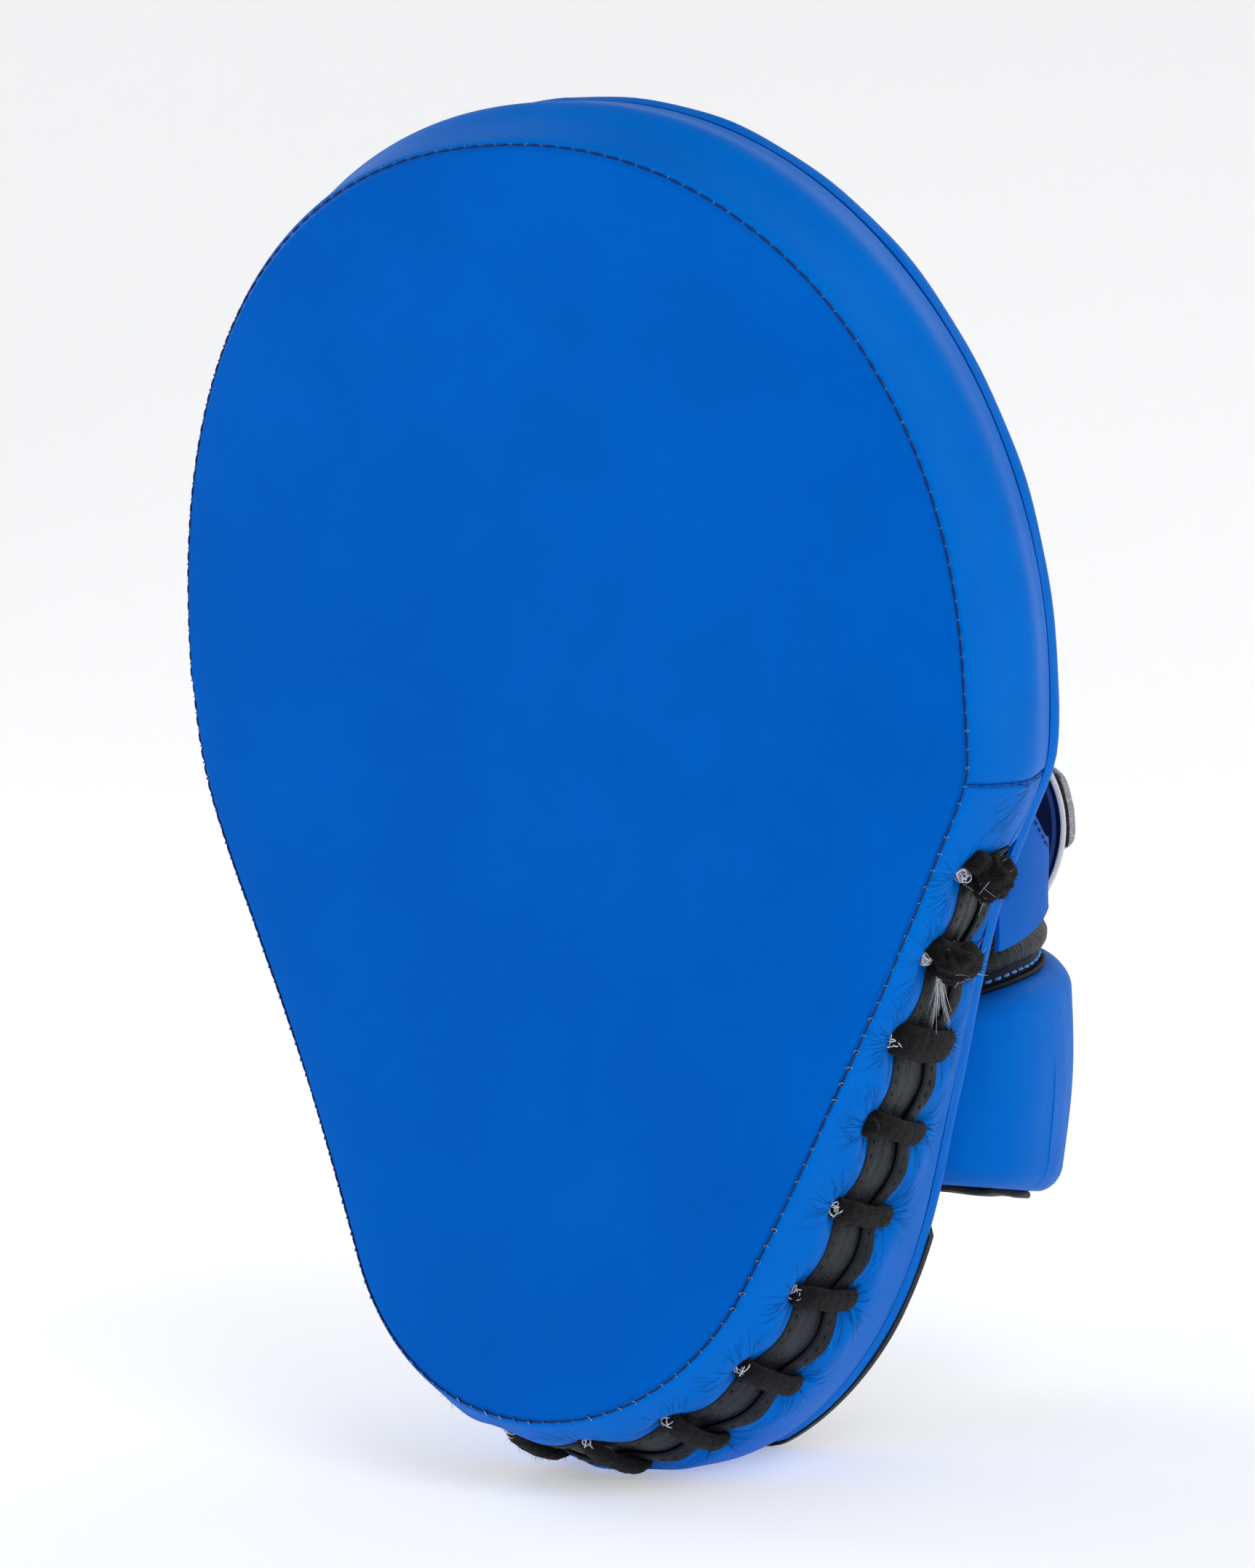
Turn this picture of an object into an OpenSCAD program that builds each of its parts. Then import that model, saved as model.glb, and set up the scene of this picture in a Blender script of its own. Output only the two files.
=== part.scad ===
// Curved, laced boxing focus mitt: bent foam pad in a leather jacket, with a finger hood,
// an open thumb side, a hook-and-loop hand strap and a padded wrist cuff on the back.
// Millimetres. X across the pad, Y from the striking face to the back, Z up.

/* [Striking pad] */
// Radius of the bend of the striking face
bend_radius = 390; // [300:5:600]
// Length of the striking face along its bend
face_length = 254; // [220:1:280]
// Widest width of the striking face
face_width = 182; // [150:1:200]
// Pad thickness at the fingertip end
thick_top = 32; // [20:1:45]
// Pad thickness at the heel end
thick_heel = 63; // [40:1:75]
// Radius of the rounded heel end of the face
heel_radius = 50; // [40:1:60]
// Narrowing of the lower half, in mm of half width per mm of length
taper = 0.46; // [0.3:0.01:0.55]
// Height of the widest line above the middle of the face
head_rise = 20; // [10:1:35]
// How far the gusset swells at the fingertip end
swell_top = 1.6; // [0:0.1:6]
// How far the gusset swells at the heel end
swell_heel = 5.4; // [0:0.1:8]
// How far the striking face is crowned over its seam
face_crown = 1.8; // [0:0.1:5]
// Depth of the pillowed back beyond its seam
back_pillow = 5.5; // [2:0.1:12]
// Crown of the middle of the back
back_crown = 2; // [0:0.1:6]
// Height trimmed off the heel to make the flat foot
foot_trim = 3.2; // [0:0.1:8]

/* [Materials] */
// Leather thickness
leather = 1.4; // [0.8:0.1:2.5]
// Gap kept between layers
gap = 0.3; // [0.2:0.05:0.6]
// Diameter of the sewing thread
thread = 0.9; // [0.5:0.1:1.5]

/* [Lacing] */
// Distance of the lace opening's middle from the face seam
lace_depth = 27; // [22:1:44]
// Full width of the lace opening with its black edges
opening_width = 15; // [8:1:22]
// Width of each black edge binding
binding_width = 4.6; // [3:0.1:7]
// Length of a lace bar from hole to hole
bar_length = 20.5; // [16:0.5:34]
// Distance between lace bars
lace_pitch = 17.5; // [14:0.1:20]
// Width of the flat boot lace
lace_width = 4.6; // [3:0.1:7]
// Thickness of the flat boot lace
lace_thick = 2.6; // [1.5:0.1:4]
// How far the tight lace pulls the jacket in along the opening
lace_dip = 2.2; // [0:0.1:4]

/* [Hand side] */
// Half width of the finger hood
hood_half = 68; // [55:1:80]
// Height of the finger hood over the back panel
hood_height = 62; // [40:1:75]
// Length of the finger hood
hood_length = 66; // [50:1:95]
// Height of the hood's open hem
hem_z = 2; // [-10:1:25]
// Sideways shift of the hand side towards the thumb
hand_shift = 4; // [0:1:12]
// Foam thickness of the hood and the cuff
hood_foam_t = 7; // [4:1:12]
// Height of the hand strap
strap_height = 17; // [14:1:38]

/* [Wrist cuff] */
// Half width of the cuff
cuff_half = 59; // [48:1:70]
// Half depth of the cuff
cuff_deep = 38.5; // [28:1:45]
// Top edge height of the cuff, at the middle of its side
cuff_top = -46.5; // [-55:0.5:-20]
// Bottom edge height of the cuff
cuff_bottom = -90; // [-100:1:-65]
// Rise of the cuff's top edge from front to back
cuff_rise = 18; // [0:1:24]
// Diameter of the rolled black edge
roll_d = 5.2; // [3:0.1:8]

/* [Hidden] */
$fn = 32;
nper = 56;                                   // points round the outline
vh = face_length / 2;
ha = face_width / 2;
heel_c = -(vh - heel_radius);
tn = sqrt(1 + taper * taper);
v_tan = heel_c - heel_radius * taper / tn;
hand_r = bend_radius + 78;                   // radius at the hand, for heights there
// foot height before the whole mitt is lifted onto the ground
foot_z = -(bend_radius + thick_heel) * sin(vh / bend_radius * 180 / PI) + foot_trim;
y_shift = -54.45;                              // puts the box middle on the Z axis

// ---- bent frame: u across, v along the bend, w depth behind the face seam
function ang(v) = v / bend_radius * 180 / PI;
function low(z, d) = max(z, foot_z + d) - foot_z;
function P(u, v, w, d = 0) = [u, (bend_radius + w) * cos(ang(v)) - bend_radius + y_shift,
  low((bend_radius + w) * sin(ang(v)), d)];
// hand-side frame: h is the height at hand depth
function Q(u, h, w) = P(u + hand_shift, h * bend_radius / hand_r, w);

// ---- outline of the striking face
function softmin(a, b, k) = -k * ln(exp(-a / k) + exp(-b / k));
function side_line(v) = heel_radius * tn + taper * (v - heel_c);
function head(v) = ha * pow(max(0, 1 - pow((v - head_rise) / (vh - head_rise), 2.15)), 1 / 2.15);
function half(v) = v >= head_rise ? head(v)
  : v > v_tan ? softmin(side_line(v), ha, 0.8)
  : sqrt(max(0, heel_radius * heel_radius - (v - heel_c) * (v - heel_c)));
function turn(i) = 360 * i / nper;
function ov(i) = vh * cos(turn(i));
function ou(i) = (sin(turn(i)) >= 0 ? 1 : -1) * half(ov(i));
function nrm(a) = a / max(norm(a), 1e-6);
function on(i) = let (d = [ou(i + 0.5) - ou(i - 0.5), ov(i + 0.5) - ov(i - 0.5)])
  nrm([-d[1], d[0]]);
function part(v) = min(1, max(0, (v + vh) / face_length));
function bump(v, at, wide) = exp(-pow((v - at) / wide, 2));
// how far the rear seam lies behind an even thickness: pinched by the lacing, full at the heel
function rim_shift(v) = 6 * bump(v, -88, 20) - 11 * bump(v, -23, 29);
// pad thickness at v, where s goes from the middle (0) to the rim (1)
function thick(v, s = 1) = thick_top + (thick_heel - thick_top) * pow(1 - part(v), 1.7)
  + rim_shift(v) * ease((s - 0.7) / 0.3);
function swell(v) = swell_heel + (swell_top - swell_heel) * part(v);
function puff(i, q) = swell(ov(i)) * pow(max(0, sin(180 * min(1, max(0, q)))), 0.8);
function ease(t) = let (x = min(1, max(0, t))) x * x * (3 - 2 * x);
// middle line and half gap of the lace opening, by height on the outline
function mid_w(v) = lace_depth - 6 * ease((v + 75) / 35) + 13.2 * ease((v + 16) / 16)
  - 3 * ease((-98 - v) / 30);
function open_part(v) = ease((-5 - v) / 17);
function gap_w(v) = opening_width / 2 * open_part(v);
function dip(i, w) = lace_dip * open_part(ov(i))
  * exp(-pow((w - mid_w(ov(i))) / (opening_width / 2 + 4), 4));
// point on the gusset at outline place i, depth w, set in by d
function G(i, w, d) = let (n = on(i), o = puff(i, w / thick(ov(i))) - dip(i, w) - d)
  P(ou(i) + n[0] * o, ov(i) + n[1] * o, w, d);
// extra set-in of the foam under the lacing, by height on the outline
lace_bed = 4.6;
function bed(i) = lace_bed * ease((6 - ov(i)) / 12);
// point on a cap: s from the middle (0) to the rim (1), q the layer depth fraction
function C(i, s, q, dw, d, cr) = let (n = on(i), o = puff(i, q) - d,
  u = (ou(i) + n[0] * o) * s, v = (ov(i) + n[1] * o) * s)
  P(u, v, q * thick(v, s) + dw + cr * (1 - pow(s, 6)), d);

// ---- closed solids from rings of points
function flat(l) = [for (a = l) for (b = a) b];
function vol(p, f) = [for (t = f) p[t[0]] * cross(p[t[1]], p[t[2]])] * [for (t = f) 1];
function turned(f, yes) = yes ? [for (t = f) [t[2], t[1], t[0]]] : f;
// rings between two middle points
module skin(rings, c0, c1) {
  k = len(rings);
  n = len(rings[0]);
  p = concat(flat(rings), [c0, c1]);
  f = concat(
    [for (i = [0 : n - 1]) [k * n, i, (i + 1) % n]],
    [for (j = [0 : k - 2], i = [0 : n - 1]) [j * n + (i + 1) % n, j * n + i, (j + 1) * n + i]],
    [for (j = [0 : k - 2], i = [0 : n - 1])
      [j * n + (i + 1) % n, (j + 1) * n + i, (j + 1) * n + (i + 1) % n]],
    [for (i = [0 : n - 1]) [k * n + 1, (k - 1) * n + (i + 1) % n, (k - 1) * n + i]]);
  polyhedron(points = p, faces = turned(f, vol(p, f) > 0), convexity = 6);
}
function mean(l) = [for (t = l) 1] * l / len(l);
// ladder of triangles across a section whose second half runs back beside its first
function ladder(n) = [for (j = [0 : n / 2]) each concat(j + 1 < n - 1 - j ? [[j, j + 1, n - 1 - j]] : [],
  j + 1 < n - 2 - j ? [[j + 1, n - 2 - j, n - 1 - j]] : [])];
// open run of section loops, closed by an end at each side
module run(secs) {
  k = len(secs);
  n = len(secs[0]);
  p = flat(secs);
  f = concat(ladder(n),
    [for (j = [0 : k - 2], i = [0 : n - 1], h = [0, 1])
      let (a = j * n + i, b = j * n + (i + 1) % n, c = a + n, d = b + n) h == 0 ? [b, a, c] : [b, c, d]],
    [for (t = ladder(n)) [for (x = [2, 1, 0]) (k - 1) * n + t[x]]]);
  polyhedron(points = p, faces = turned(f, vol(p, f) > 0), convexity = 8);
}
// endless run of section loops
module hoop(secs) {
  k = len(secs);
  n = len(secs[0]);
  p = flat(secs);
  f = [for (j = [0 : k - 1], i = [0 : n - 1], h = [0, 1])
    let (a = j * n + i, b = j * n + (i + 1) % n, c = ((j + 1) % k) * n + i,
      d = ((j + 1) % k) * n + (i + 1) % n) h == 0 ? [b, a, c] : [b, c, d]];
  polyhedron(points = p, faces = turned(f, vol(p, f) > 0), convexity = 8);
}
function rev(l) = [for (i = [len(l) - 1 : -1 : 0]) l[i]];
// strip section on the gusset from depth w0 to w1 with its two faces at d0 and d1
function strip(i, w0, w1, d0, d1, m) = concat(
  [for (j = [0 : m]) G(i, w0 + (w1 - w0) * j / m, d0)],
  [for (j = [m : -1 : 0]) G(i, w0 + (w1 - w0) * j / m, d1)]);
function outline_ring(s, q, dw, d, cr) = [for (i = [0 : nper - 1]) C(i, s, q, dw, d, cr)];
steps = [0.4, 0.75, 0.93, 1];
module sheet(q, w0, w1, d, cr) {
  skin(concat([for (s = steps) outline_ring(s, q, w0, d, cr)],
    [for (s = rev(steps)) outline_ring(s, q, w1, d, cr)]),
    C(0, 0, q, w0, d, cr), C(0, 0, q, w1, d, cr));
}
// ring of a foam layer, set in from the jacket and by the share k of the lace bed
function foam_ring(s, q, dw, k, cr) =
  [for (i = [0 : nper - 1]) C(i, s, q, dw, leather + gap + k * bed(i), cr)];
module slab(q0, q1, dw0, dw1, cr0, cr1, k0) {
  skin(concat([for (s = steps) foam_ring(s, q0, dw0, k0, cr0)],
    [foam_ring(1, (q0 + q1) / 2, 0, 1, 0)],
    [for (s = rev(steps)) foam_ring(s, q1, dw1, 1, cr1)]),
    C(0, 0, q0, dw0, leather, cr0), C(0, 0, q1, dw1, leather, cr1));
}
// tube along a list of points with an outward direction at each
function path_secs(p, ra, rb, m, up) = [for (i = [0 : len(p) - 1])
  let (t = nrm(p[min(len(p) - 1, i + 1)] - p[max(0, i - 1)]), o = up[i],
    b = nrm(cross(t, o)), a = cross(b, t))
  [for (k = [0 : m - 1]) p[i] + ra * cos(360 * k / m) * b + rb * sin(360 * k / m) * a]];
module tube(p, r, m, up) run(path_secs(p, r, r, m, up));

// ---- lace opening
function front_edge(i) = mid_w(ov(i)) - gap_w(ov(i));
function rear_edge(i) = mid_w(ov(i)) + gap_w(ov(i));
i0 = nper / 4;                               // cross seam on the thumb side
i1 = nper - i0;                              // cross seam on the other side
o0 = i0 + 0.5;                               // upper ends of the lace opening
o1 = i1 - 0.5;
nb = 17;                                     // lace bars
lace_lead = 6.6;                             // lacing starts this much nearer the thumb-side seam
// length round the outline from the thumb-side cross seam, by outline place
function arc_from(i) = i <= i0 ? [[0, i0]] : let (t = arc_from(i - 0.5), l = t[len(t) - 1][0])
  concat(t, [[l + norm([ou(i) - ou(i - 0.5), ov(i) - ov(i - 0.5)]), i]]);
arc_table = arc_from(i1);
arc_mid = arc_table[len(arc_table) - 1][0] / 2;
function bar_i(k) = lookup(arc_mid - lace_lead + (k - (nb - 1) / 2) * lace_pitch, arc_table);
function spread(a, b, n) = [for (k = [0 : n]) a + (b - a) * k / n];
open_i = spread(o0, o1, 30);                 // sections along the opening
lower_i = concat([i0 + 0.05], open_i, [i1 - 0.05]);

module face_panel() color([0.01, 0.34, 0.72]) sheet(0, 0, leather, 0, -face_crown);
// ring of the pillowed back: s from the middle to the rim, off beyond the rim, dw past the seam
function back_rise(s) = back_pillow + back_crown * (1 - pow(s, 6));
function B(i, s, off, dw, d) = let (n = on(i), u = (ou(i) + n[0] * off) * s,
  v = (ov(i) + n[1] * off) * s) P(u, v, thick(v, s) + dw, d);
function back_ring(s, off, dw, d) = [for (i = [0 : nper - 1]) B(i, s, off, dw, d)];
inner_s = [0.4, 0.72, 0.91];
roll_out = [[-2.2, 4.9], [-0.2, 2.5], [-0.1, 0.3]];
module back_panel() color([0.01, 0.36, 0.74])
  skin(concat([for (s = inner_s) back_ring(s, 0, back_rise(s), 1.2)],
    [for (r = roll_out) back_ring(1, r[0], r[1], 1.2)],
    [for (r = rev(roll_out)) back_ring(1, r[0] - leather, r[1] < 1 ? r[1] : r[1] - 0.5, 2.6)],
    [for (s = rev(inner_s)) back_ring(s, 0, back_rise(s) - leather, 2.6)]),
    B(0, 0, 0, back_rise(0), 0), B(0, 0, 0, back_rise(0) - leather, 0));

module face_seam_thread() color([0.02, 0.12, 0.34])
  hoop([for (i = [0 : nper - 1]) let (n = on(i), c = G(i, leather + 0.1, -thread / 2 - 0.05),
    o = [n[0], 0, n[1]], t = [n[1], 0, -n[0]], y = [0, 1, 0])
    [for (a = [45 : 90 : 315]) c + thread / 2 * (cos(a) * o + sin(a) * y)]]);

module upper_gusset() color([0.02, 0.42, 0.8])
  run([for (i = [-i0 : i0]) strip(i + nper, leather + gap, thick(ov(i)) - 0.1, 0, leather, 6)]);
module lower_front_gusset() color([0.02, 0.42, 0.8])
  run([for (i = lower_i) strip(i, leather + gap, front_edge(i) - 0.2, 0, leather, 4)]);
module lower_rear_gusset() color([0.02, 0.42, 0.8])
  run([for (i = lower_i) strip(i, rear_edge(i) + 0.2, thick(ov(i)) - 0.1, 0, leather, 4)]);
module front_lace_binding() color([0.05, 0.05, 0.06])
  run([for (i = open_i) strip(i, front_edge(i) - 1.2,
    min(mid_w(ov(i)) - 0.3, front_edge(i) + binding_width - 1.2), -0.2, -0.9, 2)]);
module rear_lace_binding() color([0.05, 0.05, 0.06])
  run([for (i = open_i) strip(i,
    max(mid_w(ov(i)) + 0.3, rear_edge(i) - binding_width + 1.2), rear_edge(i) + 1.2,
    -0.2, -0.9, 2)]);
// The tongue lies inside the jacket, under both edges of the opening.
module lace_tongue() color([0.06, 0.06, 0.07])
  run([for (i = open_i) strip(i, mid_w(ov(i)) - opening_width / 2 - 0.1,
    mid_w(ov(i)) + opening_width / 2 + 0.1, leather + 0.4, leather + 1.3, 6)]);
module gusset_cross_thread() color([0.02, 0.12, 0.34])
  for (i = [i0, i1]) {
    w = spread(leather + 1, 40, 10);
    tube([for (x = w) G(i, x, -thread / 2 - 0.05)], thread / 2, 5,
      [for (x = w) [on(i)[0], 0, on(i)[1]]]);
  }

// One lace: bars outside from hole to hole, slanting runs inside the opening, a ball knot
// and a thick knot at the thumb end.
function bar(k) = let (i = bar_i(k), m = mid_w(ov(i)), h = bar_length / 2, f = k % 2 == 0 ? 1 : -1)
  [[i, m - f * h, 2.2], [i, m - f * h, 0], [i, m - f * (h - 2), -2.3], [i, m - f * h / 2, -2.7],
    [i, m, -2.8], [i, m + f * h / 2, -2.7], [i, m + f * (h - 2), -2.3], [i, m + f * h, 0],
    [i, m + f * h, 2.2]];
lace_route = flat([for (k = [0 : nb - 1]) bar(k)]);
lace_pts = [for (r = lace_route) let (g = G(r[0], r[1], r[2]))
  [g[0], g[1], max(g[2], lace_thick / 2 + 0.2)]];
lace_up = [for (r = lace_route) [on(r[0])[0], 0.05, on(r[0])[1]]];
// rings of a lump at c, long along the depth, flattened by k against the jacket
function lump(c, r, long, o, k) = let (a = [0, 1, 0]) [for (t = [10 : 20 : 170])
  [for (s = [0 : 36 : 324]) c + r * (long * cos(t) * a + sin(t) * (k * cos(s) * o + sin(s) * cross(o, a)))]];
function out(i) = [on(i)[0], 0, on(i)[1]];
module lace() color([0.04, 0.04, 0.05]) {
  run(path_secs(lace_pts, lace_width / 2, lace_thick / 2, 8, lace_up));
  for (k = [[0, 4.6, 1.35], [1, 4.2, 1.9]]) {
    b = lump(G(bar_i(k[0]), mid_w(ov(bar_i(k[0]))) - 3, -4.8), k[1], k[2], out(bar_i(k[0])), 0.75);
    skin(b, mean(b[0]), mean(b[8]));
  }
}

// ---- foam stack inside the jacket
module strike_foam() color([0.9, 0.88, 0.8])
  slab(0, 0.34, leather + gap, -0.15, -face_crown, 0, 0);
module core_foam() color([0.35, 0.35, 0.37]) slab(0.34, 0.7, 0.15, -0.5, 0, 0, 1);
module rear_foam() color([0.9, 0.88, 0.8])
  skin(concat([for (s = steps) foam_ring(s, 0.7, 0.5, 1, 0)],
    [foam_ring(1, 0.86, 0, 1, 0), back_ring(1, -2.3, 0, 2.9),
      back_ring(1, -2.4, 1.8, 2.9), back_ring(1, -4.6, 3.2, 2.9)],
    [for (s = rev(inner_s)) back_ring(s, 0, back_rise(s) - leather - gap, 2.9)]),
    C(0, 0, 0.7, 0.5, 0, 0), B(0, 0, 0, back_rise(0) - leather - gap, 0));

// ---- back of the pad
// local height of the back panel's outer face over the frame depth
function back_w(u, v) = let (s = min(1, max(abs(u) / half(v), abs(v) / vh)))
  thick(v, s) + back_rise(s);
function bw(u, h) = back_w(u + hand_shift, h * bend_radius / hand_r);
// Black reinforcing patch over the heel of the back panel.
module heel_patch() color([0.05, 0.05, 0.06])
  run([for (i = spread(nper / 2 - 7, nper / 2 + 7, 14)) concat(
    [for (s = [0.66, 0.72, 0.91]) B(i, s, 0, back_rise(s) + 2.1, 0)],
    [for (r = [[-1.3, 6.9], [1.2, 3.4], [1.4, 1]]) B(i, 1, r[0], r[1], 0)],
    [for (r = [[0.4, 1], [0.4, 3.1], [-1.8, 5.8]]) B(i, 1, r[0], r[1], 0.9)],
    [for (s = [0.91, 0.72, 0.66]) B(i, s, 0, back_rise(s) + 0.9, 0.9)])]);
// Palm ball: a low dome the palm closes on.
ball_h = -8;
ball_r = 31;
function dome_ring(r, h, n) = [for (k = [0 : n - 1]) let (a = 360 * k / n,
  u = r * cos(a), hh = ball_h + 0.85 * r * sin(a)) Q(u, hh, bw(u, hh) + h)];
module palm_ball_foam() color([0.9, 0.88, 0.8]) {
  n = 24;
  rr = [for (a = [8 : 16.4 : 90]) [cos(a) * (ball_r - 2), 0.3 + 14 * sin(a)]];
  base = [for (s = [0.35, 0.7]) dome_ring((ball_r - 2) * s, 0.3, n)];
  skin(concat([for (r = rev(rr)) dome_ring(r[0], r[1], n)], [dome_ring(ball_r - 2, 0.3, n)],
    rev(base)), Q(0, ball_h, bw(0, ball_h) + 14.3), Q(0, ball_h, bw(0, ball_h) + 0.3));
}
module palm_ball_cover() color([0.03, 0.03, 0.04]) {
  n = 24;
  a = [for (t = [4 : 14 : 89]) [cos(t) * (ball_r + 1.5), 0.3 + 16.4 * sin(t)]];
  b = [for (t = [4 : 14 : 89]) [cos(t) * (ball_r - 0.5), 0.3 + 14.9 * sin(t)]];
  skin(concat([for (r = rev(a)) dome_ring(r[0], r[1], n)],
    [for (r = b) dome_ring(r[0], r[1], n)]),
    Q(0, ball_h, bw(0, ball_h) + 16.7), Q(0, ball_h, bw(0, ball_h) + 15.2));
}

// ---- finger hood: an arch over the fingers that closes down onto the pad at the top
arch_n = 16;
function swing(t) = pow(max(0, 1 - pow(t, 2.4)), 1 / 2.4);
function hood_a(t, d) = hood_half * (1 - 0.34 * pow(t, 2.2)) - d;
// outer height of the arch at hood station t, set in by d
function hood_h(t, d) = max(0.5 + 0.05 * (12 - d), hood_height * swing(t) - d);
// arch point at station t, angle a, set in by d, with a small lift off the pad
function arch(t, a, d) = let (ha_ = hood_a(t, d), hh = hood_h(t, d), hz = hem_z + hood_length * t,
  c = sign(cos(a)) * pow(abs(cos(a)), 0.8), s = pow(abs(sin(a)), 0.8), u = ha_ * c)
  Q(u, hz, bw(u, hz) + 0.4 + hh * s);
function arch_sec(t, d0, d1) = concat([for (k = [0 : arch_n]) arch(t, 180 * k / arch_n, d0)],
  [for (k = [arch_n : -1 : 0]) arch(t, 180 * k / arch_n, d1)]);
hood_st = [0, 0.15, 0.3, 0.45, 0.6, 0.73, 0.84, 0.92, 0.97, 0.995];
module hood_shell() color([0.02, 0.4, 0.78])
  run([for (t = hood_st) arch_sec(t, 0, leather)]);
module hood_foam() color([0.9, 0.88, 0.8])
  run([for (t = [0.02, 0.15, 0.3, 0.45, 0.6, 0.73, 0.84, 0.92])
    arch_sec(t, leather + 0.2, leather + 0.2 + hood_foam_t)]);
module hood_lining() color([0.03, 0.03, 0.04])
  run([for (t = [0.02, 0.15, 0.3, 0.45, 0.6, 0.73, 0.84])
    arch_sec(t, leather + 0.5 + hood_foam_t, leather + 1.5 + hood_foam_t)]);
// Folded band along the open hem of the hood.
module hood_hem() color([0.02, 0.4, 0.78])
  run([for (k = [0 : arch_n + 4]) let (a = 180 * k / (arch_n + 4), p = arch(0, a, 0), r = arch(0, a, 10),
    n = nrm([p[0] - r[0], p[1] - r[1], 0]), m = p - n * (leather + hood_foam_t + 1.4) / 2 - [0, 0, 2.6])
    [for (g = [0 : 45 : 315]) m + n * ((leather + hood_foam_t + 1.2) / 2 * cos(g))
      + [0, 0, 2.3 * sin(g)]]]);
module hood_thread() color([0.25, 0.5, 0.85])
  tube([for (k = [1 : arch_n * 2 - 1]) arch(0.07, 90 * k / arch_n, -0.5)], 0.4, 5,
    [for (k = [1 : arch_n * 2 - 1]) [0, 0, 1]]);

// ---- walls and the panel over the back of the hand
hand_w = hood_height - 3;                    // depth of the hand space over the back panel
// outline of the hand space: 0 at the thumb-side foot, 180 at the other foot
function span(a, d) = [cos(a) >= 0 ? (cuff_half + 8 - d) * pow(cos(a), 0.7)
  : -(cuff_half + 4 - d) * pow(-cos(a), 0.7), (hand_w - d) * pow(max(0, sin(a)), 0.75)];
function H(a, h, d) = let (s = span(a, d)) Q(s[0], h, bw(s[0], 0) + 0.4 + s[1]);
function wall_sec(a, h0, h1, d0, d1) = [H(a, h0, d0), H(a, (h0 + h1) / 2, d0), H(a, h1, d0),
  H(a, h1, d1), H(a, (h0 + h1) / 2, d1), H(a, h0, d1)];
wall_low = cuff_top + 4.5;
// The thumb wall stops short so the thumb can leave between it and the hand panel.
module thumb_wall() color([0.01, 0.36, 0.72])
  run([for (a = [3 : 2.5 : 25.5])
    wall_sec(a, wall_low + 5.5 + 14 * a / 90, hem_z - 7 - 10 * ease((a - 4) / 20), 1, 2.8)]);
module outer_wall() color([0.01, 0.36, 0.72])
  run([for (a = [133 : 4.4 : 177]) wall_sec(a, wall_low + 10.5, hem_z - 6, 0, 1.8)]);
module wall_thread() color([0.02, 0.12, 0.34]) {
  w = [for (a = [4 : 2.5 : 24]) [a, hem_z - 8.8 - 10 * ease((a - 4) / 20)]];
  tube([for (x = w) H(x[0], x[1], 0.5)], 0.4, 5, [for (x = w) [0, 0, 1]]);
}
pa0 = 40;                                    // free edge of the hand panel
pa1 = 131;                                   // sewn edge of the hand panel
panel_st = [for (k = [0 : 14]) pa0 + (pa1 - pa0) * k / 14];
module hand_panel() color([0.02, 0.12, 0.42])
  run([for (a = panel_st) wall_sec(a, wall_low + 10.5, hem_z - 6, 0, 1.5)]);
module panel_lining() color([0.02, 0.05, 0.2])
  run([for (a = panel_st) wall_sec(a, wall_low + 10.5, hem_z - 6, 1.7, 2.5)]);
strap_z = hem_z - 6 - strap_height / 2;
module loop_patch() color([0.05, 0.05, 0.06])
  run([for (a = [for (k = [0 : 12]) pa0 + 1 + (124 - pa0) * k / 12])
    wall_sec(a, strap_z - strap_height / 2 + 1, strap_z + strap_height / 2 - 1, -0.9, -0.1)]);
// Strap over the hand panel, hinged at its sewn root on the far side from the thumb.
root_a = 140;
module hand_strap() color([0.62, 0.63, 0.66])
  run([for (k = [0 : 20]) let (a = pa0 + 8 + (root_a - pa0 - 8) * k / 20,
    r = k == 20 ? 0.35 : k == 19 ? 0.9 : 1.1)
    wall_sec(a, strap_z - strap_height / 2, strap_z + strap_height / 2, -3.2 - r, -3.2 + r)]);
module strap_hook() color([0.05, 0.05, 0.06])
  run([for (a = [for (k = [0 : 8]) pa0 + 9 + (85 - pa0) * k / 8])
    wall_sec(a, strap_z - strap_height / 2 + 1, strap_z + strap_height / 2 - 1, -2, -1.25)]);

// ---- padded wrist cuff
cuff_n = 40;
// height of the top edge at cuff angle a, lower in front and higher at the back
function top_h(a) = cuff_top + cuff_rise / 2 * sin(a);
cuff_y = cuff_deep + 0.6;                    // cuff middle over the back panel
// cuff point at angle a, height h, set in by d
function K(a, h, d) = let (t = (h - cuff_bottom) / (cuff_top - cuff_bottom),
  x = (cuff_half - d) * (0.96 + 0.04 * t) * sign(cos(a)) * pow(abs(cos(a)), 0.86),
  y = (cuff_deep - d) * sign(sin(a)) * pow(abs(sin(a)), 0.86))
  Q(x, h, bw(0, h) + cuff_y + y * (sin(a) > 0 ? 0.82 + 0.18 * t : 1));
cuff_t = 1.4 + hood_foam_t + 3.4;
module cuff_shell() color([0.01, 0.36, 0.74])
  hoop([for (k = [0 : cuff_n - 1]) let (a = 360 * k / cuff_n, b = top_h(a))
    concat([for (g = [0 : 30 : 90]) K(a, b - 5 + 5 * sin(g), 5 - 5 * cos(g))],
      [K(a, b, 7), K(a, b - leather, 7)],
      [for (g = [90 : -45 : 0]) K(a, b - 5 + 3.6 * sin(g), 5 - 3.6 * cos(g))],
      [for (g = [0 : 45 : 90]) K(a, cuff_bottom + 5 - 3.6 * sin(g), 5 - 3.6 * cos(g))],
      [K(a, cuff_bottom + leather, 7), K(a, cuff_bottom, 7)],
      [for (g = [90 : -30 : 0]) K(a, cuff_bottom + 5 - 5 * sin(g), 5 - 5 * cos(g))])]);
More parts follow.
